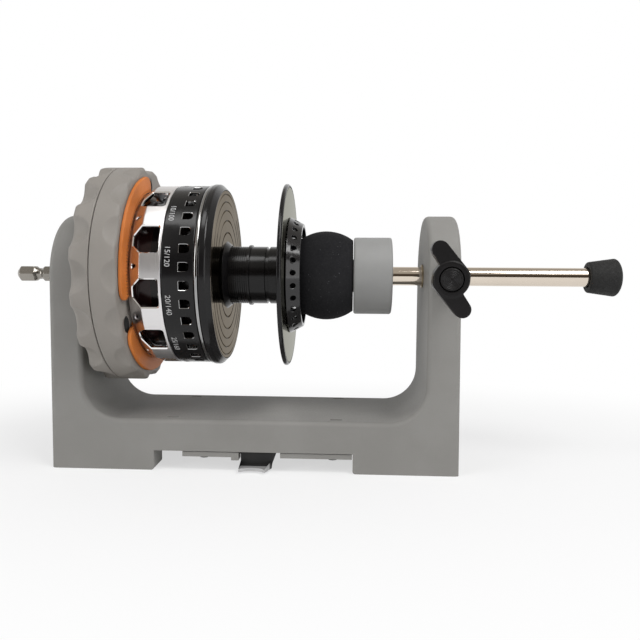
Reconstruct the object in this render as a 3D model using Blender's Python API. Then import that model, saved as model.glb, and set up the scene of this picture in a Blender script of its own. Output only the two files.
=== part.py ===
"""Bench line winder: a U-shaped stand, a three-jaw scroll chuck on a drill shank, a sliding tail rod with
a rubber live centre and a wing clamp knob, holding a fishing-reel spool.

Metres, +Z up. X runs along the spindle, from the drill shank to the tail rod's cap. Places along X are
written from the middle of the stand, and every piece hangs from the empty stand_origin, which puts the
middle of the whole object's length at X = 0. Y = 0 is the plane through the spindle, and Z = 0 is the bench.
"""
import math

import bmesh
import bpy
from mathutils import Matrix, Vector

# General clearances and helpers' sizes
SEAT_GAP = 0.0003
RUN_GAP = 0.0004
OVERRUN = 0.002
MERGE = 0.00001

# Stand
STAND_LENGTH = 0.1657
STAND_WIDTH = 0.0508
AXIS_HEIGHT = 0.0797
POST_THICKNESS = 0.0129
BASE_TOP = 0.0213
BASE_UNDERSIDE = 0.0082
FOOT_LENGTH = 0.0420
FOOT_WIDTH = 0.0120
END_WALL = 0.0040
INNER_FILLET = 0.0150
EDGE_ROUND = 0.0022

# Cover under the base, with its notch for the saddle and its small tab
COVER_THICKNESS = 0.0020
COVER_LEFT = -0.0290
NOTCH_LEFT = -0.0058
NOTCH_RIGHT = 0.0113
NOTCH_DEPTH = 0.0180
TAB_LENGTH = 0.0030
TAB_DROP = 0.0013
TAB_DEPTH = 0.0050
COVER_SCREW_RADIUS = 0.0015
COVER_SCREW_HEAD_RADIUS = 0.0027
COVER_SCREW_HEAD_HEIGHT = 0.0012
COVER_SCREW_LENGTH = 0.0090
COVER_SCREW_INSET = 0.0080
COVER_SCREW_COUNT = 4

# Saddle bracket that hangs in the notch
SADDLE_SHEET = 0.0013
SADDLE_LEFT = -0.0052
SADDLE_RIGHT = 0.0097
SADDLE_SKEW = 0.0021
SADDLE_LIP_SKEW = 0.0044
SADDLE_WALL_INSET = 0.0026
SADDLE_BACK = 0.0120
SADDLE_LIP = 0.0067
SADDLE_CLEAR = 0.0009
SADDLE_ARC_RADIUS = 0.0075
SADDLE_ARC_RISE = 0.0026

# Spindle: a quarter-inch hexagon shank with its detent neck, then a round shaft
HEX_FLATS = 0.00635
SHANK_REACH = 0.0249
SHANK_TIP_RADIUS = 0.0017
SHANK_TIP_LENGTH = 0.0018
NECK_RADIUS = 0.0024
NECK_FROM_TIP = 0.0091
NECK_LENGTH = 0.0018
NECK_FLARE = 0.0016
SHAFT_RADIUS = 0.0040
SHAFT_FLANGE_RADIUS = 0.0070
SHAFT_FLANGE_LENGTH = 0.0010
NUT_FLATS = 0.0130
NUT_LENGTH = 0.0033

# Ball bearings, 8 x 16 x 5
BEARING_OUTER_RADIUS = 0.0080
BEARING_WIDTH = 0.0050
BEARING_RING = 0.0011
BEARING_RECESS = 0.0004

# Scroll chuck
CHUCK_RADIUS = 0.04573
SEAM_PLACE = -0.05833
RING_BACK = -0.0666
RING_RIM_WALL = 0.0050
RING_PLATE = 0.0050
RIM_ROUND = 0.0028
RIM_ROUND_FRONT = 0.0015
SCALLOP_COUNT = 16
SCALLOP_DEPTH = 0.0026
SCALLOP_LENGTH = 0.0042
SCALLOP_DEPTH_FRONT = 0.0016
SCALLOP_LENGTH_FRONT = 0.0022
CHUCK_FACE = -0.0484
HUB_RADIUS = 0.0100
RETAINER_RADIUS = 0.0150
RETAINER_THICKNESS = 0.0010
SCROLL_PITCH = 0.0048
SCROLL_RIDGE = 0.0018
SCROLL_HEIGHT = 0.0022
SCROLL_START_RADIUS = 0.0150
SCROLL_TURNS = 4
NUT_RECESS_RADIUS = 0.0090
NUT_RECESS_DEPTH = 0.0040

# Jaws
JAW_COUNT = 3
JAW_FIRST_ANGLE = math.radians(36)
JAW_HALF_ARC = math.radians(50)
JAW_TRAVEL = 0.0036
SLIDE_INNER = 0.0160
SLOT_RIM = 0.00773
SLIDE_WIDTH = 0.0120
SLIDE_FLANGE_WIDTH = 0.0160
SLIDE_FLANGE_HEIGHT = 0.0030
TOOTH_WIDTH = 0.0016
TOOTH_HALF_WIDTH = 0.0050
PAD_INNER = 0.0170
PAD_RIM = 0.0040
PAD_CORNER = 0.0045
PAD_HEIGHT = 0.0012
PAD_EDGE = 0.0004
PAD_BASE = 0.0005
GRIP_GAP = 0.0006
GRIP_LEAN = 0.0003
RELIEF_WIDTH = 0.0030
RELIEF_RIM = 0.00523
RELIEF_LENGTH = 0.0075
RELIEF_DEPTH = 0.0020
JAW_SCREW_PLACE = 0.0250
JAW_SCREW_RADIUS = 0.0015
JAW_SCREW_LENGTH = 0.0060
JAW_SCREW_HEAD_RADIUS = 0.0032
JAW_SCREW_HEAD_HEIGHT = 0.0004

# Reel spool
SKIRT_BACK = -0.0473
SKIRT_RADIUS = 0.0380
SKIRT_CHAMFER = 0.0036
SKIRT_SLOPE = 0.0057
SKIRT_WALL = 0.0013
SKIRT_END = -0.0332
WINDOW_COUNT = 11
WINDOW_WIDTH = 0.0111
WINDOW_POINT_WIDTH = 0.0044
WINDOW_POINT_LENGTH = 0.0033
WINDOW_LEFT = -0.0450
WINDOW_RIGHT = -0.0347
WINDOW_CORNER = 0.0010
WINDOW_FIRST_ANGLE = math.radians(-9.9)
DRUM_BACK = -0.0460
DRUM_CLEARANCE = 0.0020
DRUM_WALL = 0.0015
BAND_END = -0.0190
BAND_WALL = 0.0020
PORT_COUNT = 33
PORT_FIRST_ANGLE = math.radians(-5.1)
PORT_PLACE = -0.0244
PORT_LENGTH = 0.0040
PORT_WIDTH = 0.0034
TRIM_LENGTH = 0.0006
TRIM_STAND = 0.0003
FLANGE_FACE = -0.01486
FLANGE_STAND = 0.0007
FLANGE_BEVEL = 0.0014
FLANGE_RIM = 0.0018
FACE_THICKNESS = 0.0010
FACE_GROOVES = 5
FACE_GROOVE_WIDTH = 0.0005
FACE_GROOVE_DEPTH = 0.0004
ARBOR_RADIUS = 0.0123
ARBOR_BORE = 0.0085
ARBOR_STEP = 0.0007
ARBOR_RIB_COUNT = 3
ARBOR_RIB_PITCH = 0.0018
ARBOR_RING_PLACE = -0.0045
ARBOR_RING_WIDTH = 0.0012
ARBOR_GROOVE_WIDTH = 0.0014
ARBOR_GROOVE_SHARES = (0.5, 0.85)
LIP_FACE = 0.0131
LIP_RADIUS = 0.0389
LIP_THICKNESS = 0.0018
LIP_BEVEL = 0.0012
LIP_RIM = 0.0013
LIP_PLATE_THICKNESS = 0.0006
NOSE_LENGTH = 0.0055
NOSE_BASE_RADIUS = 0.0249
NOSE_END_RADIUS = 0.0220
NOSE_WALL = 0.0014
NOSE_WEB = 0.0014
NOSE_HOLE_COUNT = 28
NOSE_FIRST_ANGLE = math.radians(4)
NOSE_HOLE_RADIUS = 0.0012

# Live centre and tail rod
BALL_RADIUS = 0.0190
BALL_CENTRE = 0.0286
SPIGOT_RADIUS = 0.0070
SPIGOT_LENGTH = 0.0160
COLLAR_LEFT = 0.0404
COLLAR_RIGHT = 0.0565
COLLAR_RADIUS = 0.0164
COLLAR_ROUND = 0.0010
COLLAR_WALL = 0.0014
ROD_RADIUS = 0.0040
ROD_SHOULDER_RADIUS = 0.0055
ROD_SHOULDER_LENGTH = 0.0010
ROD_EDGE = 0.0005
CLIP_THICKNESS = 0.0008
CLIP_RADIUS = 0.0060
CLIP_GROOVE = 0.0006
BEARING_SPREAD = 0.0012
CAP_LEFT = 0.1393
CAP_RIGHT = 0.1530
CAP_START_RADIUS = 0.0065
CAP_END_RADIUS = 0.0080
CAP_DOME = 0.0030
CAP_DEPTH = 0.0090
BUSH_RADIUS = 0.0062
BUSH_PROUD = 0.0007

# Clamp knob on the front of the right post
KNOB_FRONT = 0.0443
KNOB_HUB_RADIUS = 0.0071
KNOB_STEM_RADIUS = 0.0055
KNOB_WING_REACH = 0.01185
KNOB_LOBE_RADIUS = 0.0032
KNOB_ROOT_RADIUS = 0.0039
KNOB_WING_THICKNESS = 0.0062
KNOB_WING_SET_BACK = 0.0010
KNOB_TILT = math.radians(-21)
KNOB_CAP_RADIUS = 0.0046
KNOB_CAP_DEPTH = 0.0012
KNOB_STEM_LENGTH = 0.0100
STUD_RADIUS = 0.0030
INSERT_RADIUS = 0.0045
INSERT_LENGTH = 0.0120
CLAMP_PAD_RADIUS = 0.0028
CLAMP_PAD_LENGTH = 0.0045

# Places that follow from the sizes above
HALF_LENGTH = STAND_LENGTH / 2
HALF_WIDTH = STAND_WIDTH / 2
INNER_LEFT = POST_THICKNESS - HALF_LENGTH
INNER_RIGHT = HALF_LENGTH - POST_THICKNESS
FOOT_INNER = HALF_LENGTH - FOOT_LENGTH
SHANK_TIP = -HALF_LENGTH - SHANK_REACH
STAND_CENTRE_X = -(SHANK_TIP + CAP_RIGHT) / 2
HEX_CORNER = HEX_FLATS / math.sqrt(3)
RING_FACE = RING_BACK + RING_PLATE
RIDGE_TOP = RING_FACE + SCROLL_HEIGHT
BODY_BACK = SEAM_PLACE + SEAT_GAP / 2
RING_FRONT = SEAM_PLACE - SEAT_GAP / 2
HUB_END = RING_BACK
RETAINER_FRONT = HUB_END - SEAT_GAP
RETAINER_BACK = RETAINER_FRONT - RETAINER_THICKNESS
SHAFT_FLANGE_FRONT = RETAINER_BACK - SEAT_GAP
SHAFT_FLANGE_BACK = SHAFT_FLANGE_FRONT - SHAFT_FLANGE_LENGTH
SHAFT_END = CHUCK_FACE - SEAT_GAP
PAD_BACK = CHUCK_FACE + SEAT_GAP
PAD_FRONT = PAD_BACK + PAD_HEIGHT
SLIDE_TOP = CHUCK_FACE
SLIDE_BACK = RIDGE_TOP + RUN_GAP
SLIDE_SHOULDER = SLIDE_BACK + SLIDE_FLANGE_HEIGHT
COVER_TOP = BASE_UNDERSIDE - SEAT_GAP
COVER_BOTTOM = COVER_TOP - COVER_THICKNESS
COVER_RIGHT = FOOT_INNER - SEAT_GAP
SLIDE_OUTER = CHUCK_RADIUS - SLOT_RIM - JAW_TRAVEL - RUN_GAP
RELIEF_OUTER = CHUCK_RADIUS - RELIEF_RIM
RELIEF_INNER = RELIEF_OUTER - RELIEF_LENGTH
PAD_OUTER = SKIRT_RADIUS + PAD_RIM
DRUM_RADIUS = SKIRT_RADIUS - SKIRT_CHAMFER - SKIRT_WALL / 2 - DRUM_CLEARANCE - DRUM_WALL / 2
BAND_RADIUS = SKIRT_RADIUS
TRIM_RADIUS = BAND_RADIUS + TRIM_STAND
FLANGE_RADIUS = BAND_RADIUS + FLANGE_STAND
FACE_RADIUS = FLANGE_RADIUS - FLANGE_RIM
LIP_PLATE_RADIUS = LIP_RADIUS - LIP_RIM
LIP_BACK = LIP_FACE - LIP_THICKNESS
NOSE_BACK = LIP_FACE + SEAT_GAP
NOSE_FRONT = NOSE_BACK + NOSE_LENGTH
KNOB_PLACE = (INNER_RIGHT + HALF_LENGTH) / 2
SHAFT_TURN = (0, math.radians(90), 0)
KNOB_TURN = (math.radians(90), 0, 0)


def clear_scene():
    for old in list(bpy.data.objects):
        bpy.data.objects.remove(old, do_unlink=True)


def material(name, colour, roughness, metallic):
    made = bpy.data.materials.new(name)
    made.use_nodes = True
    shader = made.node_tree.nodes["Principled BSDF"]
    shader.inputs["Base Color"].default_value = (*colour, 1)
    shader.inputs["Roughness"].default_value = roughness
    shader.inputs["Metallic"].default_value = metallic
    made.diffuse_color = (*colour, 1)
    return made


def empty(name, location, parent=None):
    made = bpy.data.objects.new(name, None)
    bpy.context.scene.collection.objects.link(made)
    made.location = location
    made.parent = parent
    return made


def place(name, mesh, parent, finish, turn=(0, 0, 0)):
    """An object for the mesh, shaded smooth with its sharp edges kept."""
    mesh.shade_smooth()
    mesh.set_sharp_from_angle(angle=math.radians(35))
    made = bpy.data.objects.new(name, mesh)
    bpy.context.scene.collection.objects.link(made)
    made.parent = parent
    made.rotation_euler = turn
    if finish is not None:
        made.data.materials.append(finish)
    return made


def mesh_of(name, points, faces):
    mesh = bpy.data.meshes.new(name)
    mesh.from_pydata([tuple(p) for p in points], [], faces)
    shape = bmesh.new()
    shape.from_mesh(mesh)
    bmesh.ops.recalc_face_normals(shape, faces=shape.faces)
    shape.to_mesh(mesh)
    shape.free()
    return mesh


def helper(made):
    """Marks a cutter or a joined-on shape as a guide that isn't part of the object."""
    made.hide_render = True
    made.display_type = "WIRE"
    return made


def combine(target, other, operation="DIFFERENCE"):
    helper(other)
    step = target.modifiers.new(other.name, "BOOLEAN")
    step.operation = operation
    step.solver = "EXACT"
    step.object = other


def turned(name, profile, parent, finish, steps=32, turn=SHAFT_TURN):
    """A piece turned about its own Z by a Screw modifier. The profile is a list of (place along the axis,
    radius): a closed outline round a bore, or one that starts and ends on the axis."""
    points = [Vector((radius, 0, along)) for along, radius in profile]
    on_axis = profile[0][1] == 0 and profile[-1][1] == 0
    area = sum(a.x * b.z - b.x * a.z for a, b in zip(points, points[1:] + points[:1]))
    if area > 0:
        points.reverse()
    count = len(points)
    edges = [(i, (i + 1) % count) for i in range(count - on_axis)]
    mesh = bpy.data.meshes.new(name)
    mesh.from_pydata(points, edges, [])
    made = place(name, mesh, parent, finish, turn)
    screw = made.modifiers.new("turn", "SCREW")
    screw.steps = steps
    screw.render_steps = steps
    screw.use_smooth_shade = True
    screw.use_merge_vertices = on_axis
    screw.merge_threshold = MERGE
    return made


def prism(name, outline, low, high, axis, parent, finish):
    """An outline extruded along one axis. Outlines are (Y, Z) for X, (X, Z) for Y and (X, Y) for Z."""
    spots = {"X": lambda a, b, c: (c, a, b), "Y": lambda a, b, c: (a, c, b), "Z": lambda a, b, c: (a, b, c)}
    spot = spots[axis]
    count = len(outline)
    points = [spot(a, b, end) for end in (low, high) for a, b in outline]
    faces = [tuple(range(count)), tuple(range(count, 2 * count))]
    faces += [(i, (i + 1) % count, count + (i + 1) % count, count + i) for i in range(count)]
    return place(name, mesh_of(name, points, faces), parent, finish)


def box(name, low, high, parent, finish=None):
    outline = [(low[0], low[1]), (high[0], low[1]), (high[0], high[1]), (low[0], high[1])]
    return prism(name, outline, low[2], high[2], "Z", parent, finish)


def arc(centre, radius, start, end, steps):
    """Points on an arc, with angles from the first axis towards the second."""
    angles = [start + (end - start) * i / steps for i in range(steps + 1)]
    return [(centre[0] + radius * math.cos(t), centre[1] + radius * math.sin(t)) for t in angles]


def radial(angle, radius, across=0.0):
    """(Y, Z) at a radius from the spindle, at an angle from the front (-Y) towards the top (+Z)."""
    y = -radius * math.cos(angle) + across * math.sin(angle)
    z = radius * math.sin(angle) + across * math.cos(angle)
    return y, z


def spaced(count, first=0.0):
    return [first + 2 * math.pi * i / count for i in range(count)]


def grid_tube(name, rings, parent, finish):
    """A surface through rings of points, closed by a flat face at each end."""
    count = len(rings[0])
    points = [p for ring in rings for p in ring]
    faces = [tuple(range(count)), tuple(range(len(points) - count, len(points)))]
    for i in range(len(rings) - 1):
        a = i * count
        b = a + count
        faces += [(a + j, a + (j + 1) % count, b + (j + 1) % count, b + j) for j in range(count)]
    return place(name, mesh_of(name, points, faces), parent, finish)


def radial_prisms(name, outline, inner, outer, angles, parent, finish=None):
    """One mesh of prisms that point outwards, one at each angle. The outline is (X, distance across)."""
    points = []
    faces = []
    count = len(outline)
    for angle in angles:
        base = len(points)
        for radius in (inner, outer):
            points += [(x, *radial(angle, radius, across)) for x, across in outline]
        faces.append(tuple(range(base, base + count)))
        faces.append(tuple(range(base + count, base + 2 * count)))
        for i in range(count):
            j = (i + 1) % count
            faces.append((base + i, base + j, base + count + j, base + count + i))
    return place(name, mesh_of(name, points, faces), parent, finish)


def scalloped(name, profile, parent, finish, steps_each=4):
    """A solid disc whose rim dips SCALLOP_COUNT times. The profile is (X, radius, dip at that place)."""
    angles = spaced(SCALLOP_COUNT * steps_each)
    rings = []
    for x, radius, depth in profile:
        dips = [(0.5 + 0.5 * math.cos(SCALLOP_COUNT * angle)) ** 1.5 for angle in angles]
        rings.append([(x, *radial(angle, radius - depth * dip)) for angle, dip in zip(angles, dips)])
    return grid_tube(name, rings, parent, finish)


def build_frame(origin, axis, clamp_axis, finish):
    """The moulded U: an arched block, less the bay between the posts, the gap between the feet and the bores."""
    arch = [(-HALF_WIDTH, 0), (HALF_WIDTH, 0)]
    arch += arc((0, AXIS_HEIGHT), HALF_WIDTH, 0, math.pi, 14)
    frame = prism("frame", arch, -HALF_LENGTH, HALF_LENGTH, "X", origin, finish)
    top = AXIS_HEIGHT + HALF_WIDTH + OVERRUN
    corner = BASE_TOP + INNER_FILLET
    bay = [(INNER_LEFT, top)]
    bay += arc((INNER_LEFT + INNER_FILLET, corner), INNER_FILLET, math.pi, 1.5 * math.pi, 5)
    bay += arc((INNER_RIGHT - INNER_FILLET, corner), INNER_FILLET, 1.5 * math.pi, 2 * math.pi, 5)
    bay.append((INNER_RIGHT, top))
    reach = HALF_WIDTH + OVERRUN
    combine(frame, prism("bay_cutter", bay, -reach, reach, "Y", origin, None))
    edges = frame.modifiers.new("rounded edges", "BEVEL")
    edges.width = EDGE_ROUND
    edges.segments = 2
    edges.limit_method = "ANGLE"
    edges.angle_limit = math.radians(60)
    gap_low = (-FOOT_INNER, -reach, -OVERRUN)
    combine(frame, box("foot_gap_cutter", gap_low, (FOOT_INNER, reach, BASE_UNDERSIDE), origin))
    side = HALF_WIDTH - FOOT_WIDTH
    end = HALF_LENGTH - END_WALL
    combine(frame, box("channel_cutter", (-end, -side, -OVERRUN), (end, side, BASE_UNDERSIDE), origin))
    cut_bores(frame, axis, clamp_axis)
    return frame


def cut_bores(frame, axis, clamp_axis):
    """The stepped bearing seats, the bush bore, the clamp insert's bore and the screw holes under the base."""
    seat = BEARING_OUTER_RADIUS + SEAT_GAP
    depth = BEARING_WIDTH + SEAT_GAP
    waist = BEARING_OUTER_RADIUS - BEARING_RING
    stepped = [(-HALF_LENGTH - OVERRUN, 0), (-HALF_LENGTH - OVERRUN, seat), (-HALF_LENGTH + depth, seat)]
    stepped += [(-HALF_LENGTH + depth, waist), (INNER_LEFT - depth, waist), (INNER_LEFT - depth, seat)]
    stepped += [(INNER_LEFT + OVERRUN, seat), (INNER_LEFT + OVERRUN, 0)]
    combine(frame, turned("bearing_seat_cutter", stepped, axis, None, 18))
    hole = BUSH_RADIUS + SEAT_GAP
    low = INNER_RIGHT - OVERRUN
    high = HALF_LENGTH + OVERRUN
    combine(frame, turned("bush_bore_cutter", [(low, 0), (low, hole), (high, hole), (high, 0)], axis, None, 18))
    hole = INSERT_RADIUS + SEAT_GAP
    far = HALF_WIDTH + OVERRUN
    combine(frame, turned("insert_bore_cutter", [(0, 0), (0, hole), (far, hole), (far, 0)], clamp_axis,
                          None, 16, KNOB_TURN))
    hole = COVER_SCREW_RADIUS + SEAT_GAP
    deep = COVER_BOTTOM + COVER_SCREW_LENGTH + SEAT_GAP
    for index, (x, y) in enumerate(screw_places()):
        spot = empty(f"screw_hole_{index + 1}_place", (x, y, 0), frame.parent)
        combine(frame, turned(f"screw_hole_{index + 1}_cutter", [(-OVERRUN, 0), (-OVERRUN, hole), (deep, hole),
                              (deep, 0)], spot, None, 10, (0, 0, 0)))


def screw_places():
    """Two cover screws at each end of the cover, then two in the saddle's back flange."""
    inset = HALF_WIDTH - FOOT_WIDTH / 2
    places = [(COVER_LEFT + COVER_SCREW_INSET, -inset), (COVER_LEFT + COVER_SCREW_INSET, inset)]
    places += [(COVER_RIGHT - COVER_SCREW_INSET, -inset), (COVER_RIGHT - COVER_SCREW_INSET, inset)]
    middle = (SADDLE_LEFT + SADDLE_RIGHT) / 2
    back = -HALF_WIDTH + SADDLE_WALL_INSET + SADDLE_BACK / 2
    apart = (SADDLE_RIGHT - SADDLE_LEFT) / 4
    places += [(middle - apart, back), (middle + apart, back)]
    return places


def build_cover(origin, finish, screw_finish):
    """The plate under the base, its notch and tab, and the screws that hold it and the saddle."""
    front = -HALF_WIDTH + SEAT_GAP
    notch = -HALF_WIDTH + NOTCH_DEPTH
    outline = [(COVER_LEFT, front), (NOTCH_LEFT, front), (NOTCH_LEFT, notch), (NOTCH_RIGHT, notch)]
    outline += [(NOTCH_RIGHT, front), (COVER_RIGHT, front), (COVER_RIGHT, -front), (COVER_LEFT, -front)]
    cover = prism("bottom_cover", outline, COVER_BOTTOM, COVER_TOP, "Z", origin, finish)
    tab_low = (NOTCH_LEFT - TAB_LENGTH, front, COVER_BOTTOM - TAB_DROP)
    tab_high = (NOTCH_LEFT, front + TAB_DEPTH, COVER_TOP - COVER_THICKNESS / 2)
    combine(cover, box("cover_tab_shape", tab_low, tab_high, origin), "UNION")
    hole = COVER_SCREW_RADIUS + SEAT_GAP
    for index, (x, y) in enumerate(screw_places()):
        held = index < COVER_SCREW_COUNT
        seat = COVER_BOTTOM if held else COVER_TOP - SADDLE_SHEET
        spot = empty(f"screw_{index + 1}_place", (x, y, seat - SEAT_GAP), origin)
        head = COVER_SCREW_HEAD_HEIGHT
        rim = COVER_SCREW_HEAD_RADIUS
        tip = COVER_SCREW_LENGTH - head
        profile = [(-head, 0), (-head, rim - head / 2), (0, rim), (0, COVER_SCREW_RADIUS)]
        profile += [(tip, COVER_SCREW_RADIUS), (tip, 0)]
        name = f"cover_screw_{index + 1}" if held else f"saddle_screw_{index - COVER_SCREW_COUNT + 1}"
        turned(name, profile, spot, screw_finish, 8, (0, 0, 0))
        if held:
            reach = 2 * COVER_THICKNESS
            combine(cover, turned(f"cover_hole_{index + 1}_cutter", [(-reach, 0), (-reach, hole), (reach, hole),
                                  (reach, 0)], spot, None, 10, (0, 0, 0)))


def build_saddle(origin, finish):
    """A bent sheet: a flange screwed under the base, a wall, and a lip with a concave front edge."""
    wall = -HALF_WIDTH + SADDLE_WALL_INSET
    front = wall - SADDLE_LIP
    back = wall + SADDLE_BACK
    low = SADDLE_CLEAR
    sheet = SADDLE_SHEET
    top = COVER_TOP
    outline = [(back, top), (wall, top), (wall, low + sheet), (front, low + sheet), (front, low)]
    outline += [(wall + sheet, low), (wall + sheet, top - sheet), (back, top - sheet)]
    skews = [0, 0, SADDLE_SKEW, SADDLE_LIP_SKEW, SADDLE_LIP_SKEW, SADDLE_SKEW, 0, 0]
    left = [(SADDLE_LEFT, y, z) for y, z in outline]
    right = [(SADDLE_RIGHT - skew, y, z) for (y, z), skew in zip(outline, skews)]
    saddle = grid_tube("rod_saddle", [left, right], origin, finish)
    middle = (SADDLE_LEFT + SADDLE_RIGHT - SADDLE_LIP_SKEW) / 2
    centre = (middle, front - SADDLE_ARC_RADIUS + SADDLE_ARC_RISE)
    bite = prism("saddle_arc_cutter", arc(centre, SADDLE_ARC_RADIUS, 0, 2 * math.pi, 24)[:-1],
                 -OVERRUN, low + sheet + OVERRUN, "Z", origin, None)
    combine(saddle, bite)
    hole = COVER_SCREW_RADIUS + SEAT_GAP
    for index, (x, y) in enumerate(screw_places()[COVER_SCREW_COUNT:]):
        ring = arc((x, y), hole, 0, 2 * math.pi, 10)[:-1]
        combine(saddle, prism(f"saddle_hole_{index + 1}_cutter", ring, top - 2 * sheet, top + OVERRUN, "Z",
                              origin, None))


def bearing(name, left, parent, finish, bore):
    """A shielded ball bearing: inner and outer rings with the shield set back between them."""
    inner = bore + BEARING_RING
    outer = BEARING_OUTER_RADIUS - BEARING_RING
    right = left + BEARING_WIDTH
    deep = BEARING_RECESS
    profile = [(left, bore), (left, inner), (left + deep, inner), (left + deep, outer), (left, outer)]
    profile += [(left, BEARING_OUTER_RADIUS), (right, BEARING_OUTER_RADIUS), (right, bore)]
    return turned(name, profile, parent, finish, 14)


def build_spindle(axis, steel):
    """The shank, turned and then given its six flats, one edge towards the front, with its shaft and flange."""
    flare = NECK_FLARE
    neck = SHANK_TIP + NECK_FROM_TIP
    shoulder = -HALF_LENGTH - SEAT_GAP
    profile = [(SHANK_TIP, 0), (SHANK_TIP, SHANK_TIP_RADIUS), (SHANK_TIP + SHANK_TIP_LENGTH, HEX_CORNER)]
    profile += [(neck - flare, HEX_CORNER), (neck, NECK_RADIUS), (neck + NECK_LENGTH, NECK_RADIUS)]
    profile += [(neck + NECK_LENGTH + flare, HEX_CORNER), (shoulder, HEX_CORNER), (shoulder, SHAFT_RADIUS)]
    profile += [(SHAFT_FLANGE_BACK, SHAFT_RADIUS), (SHAFT_FLANGE_BACK, SHAFT_FLANGE_RADIUS)]
    profile += [(SHAFT_FLANGE_FRONT, SHAFT_FLANGE_RADIUS), (SHAFT_FLANGE_FRONT, SHAFT_RADIUS)]
    profile += [(SHAFT_END, SHAFT_RADIUS), (SHAFT_END, 0)]
    spindle = turned("drive_spindle", profile, axis, steel, 24)
    low = SHANK_TIP - OVERRUN
    wide = 2 * SHAFT_FLANGE_RADIUS
    tube = [(low, HEX_CORNER), (low, wide), (shoulder, wide), (shoulder, HEX_CORNER)]
    flats = turned("shank_flats_cutter", tube, axis, None, 6)
    quarter = math.pi / 2
    edge_forward = Matrix.Rotation(quarter, 3, "X") @ Matrix.Rotation(quarter, 3, "Y")
    flats.rotation_euler = edge_forward.to_euler()
    combine(spindle, flats)
    back = CHUCK_FACE - NUT_RECESS_DEPTH + SEAT_GAP
    corner = NUT_FLATS / math.sqrt(3)
    front = back + NUT_LENGTH
    nut = turned("spindle_nut", [(back, 0), (back, corner), (front, corner), (front, 0)], axis, steel, 6)
    bore = SHAFT_RADIUS + SEAT_GAP
    hole = [(back - OVERRUN, 0), (back - OVERRUN, bore), (front + OVERRUN, bore), (front + OVERRUN, 0)]
    combine(nut, turned("nut_bore_cutter", hole, axis, None, 15))
    washer = [(RETAINER_BACK, bore), (RETAINER_BACK, RETAINER_RADIUS), (RETAINER_FRONT, RETAINER_RADIUS)]
    washer.append((RETAINER_FRONT, bore))
    turned("scroll_retainer", washer, axis, steel, 18)


def build_scroll_ring(pivot, finish):
    """The grip ring: a scalloped disc, hollowed from the front, with the scroll's spiral ridge in the hollow."""
    bore = HUB_RADIUS + RUN_GAP
    wall = CHUCK_RADIUS - RING_RIM_WALL
    full = RING_BACK + SCALLOP_LENGTH
    profile = [(RING_BACK, CHUCK_RADIUS - RIM_ROUND, SCALLOP_DEPTH)]
    profile += [(RING_BACK + RIM_ROUND / 2, CHUCK_RADIUS - RIM_ROUND / 4, SCALLOP_DEPTH)]
    profile += [(full, CHUCK_RADIUS, SCALLOP_DEPTH / 4), (full + RIM_ROUND / 2, CHUCK_RADIUS, 0)]
    profile += [(RING_FRONT, CHUCK_RADIUS, 0)]
    ring = scalloped("scroll_ring", profile, pivot, finish)
    low = RING_BACK - OVERRUN
    high = RING_FRONT + OVERRUN
    hollow = [(low, 0), (low, bore), (RING_FACE, bore), (RING_FACE, wall), (high, wall), (high, 0)]
    combine(ring, turned("ring_hollow_cutter", hollow, pivot, None, 28))
    combine(ring, spiral("scroll_ridge_shape", 0, SCROLL_TURNS * 2 * math.pi, SCROLL_RIDGE,
                         RING_FACE - SCROLL_HEIGHT / 4, RIDGE_TOP, SCROLL_START_RADIUS, pivot), "UNION")


def spiral(name, start, end, width, low, high, radius, parent):
    """A square ridge along an Archimedean spiral: its radius grows by SCROLL_PITCH in each turn."""
    steps = max(2, round((end - start) / math.radians(24)))
    rings = []
    for i in range(steps + 1):
        angle = start + (end - start) * i / steps
        middle = radius + SCROLL_PITCH * angle / (2 * math.pi)
        inner = radial(angle, middle - width / 2)
        outer = radial(angle, middle + width / 2)
        rings.append([(low, *inner), (low, *outer), (high, *outer), (high, *inner)])
    return grid_tube(name, rings, parent, None)


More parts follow.
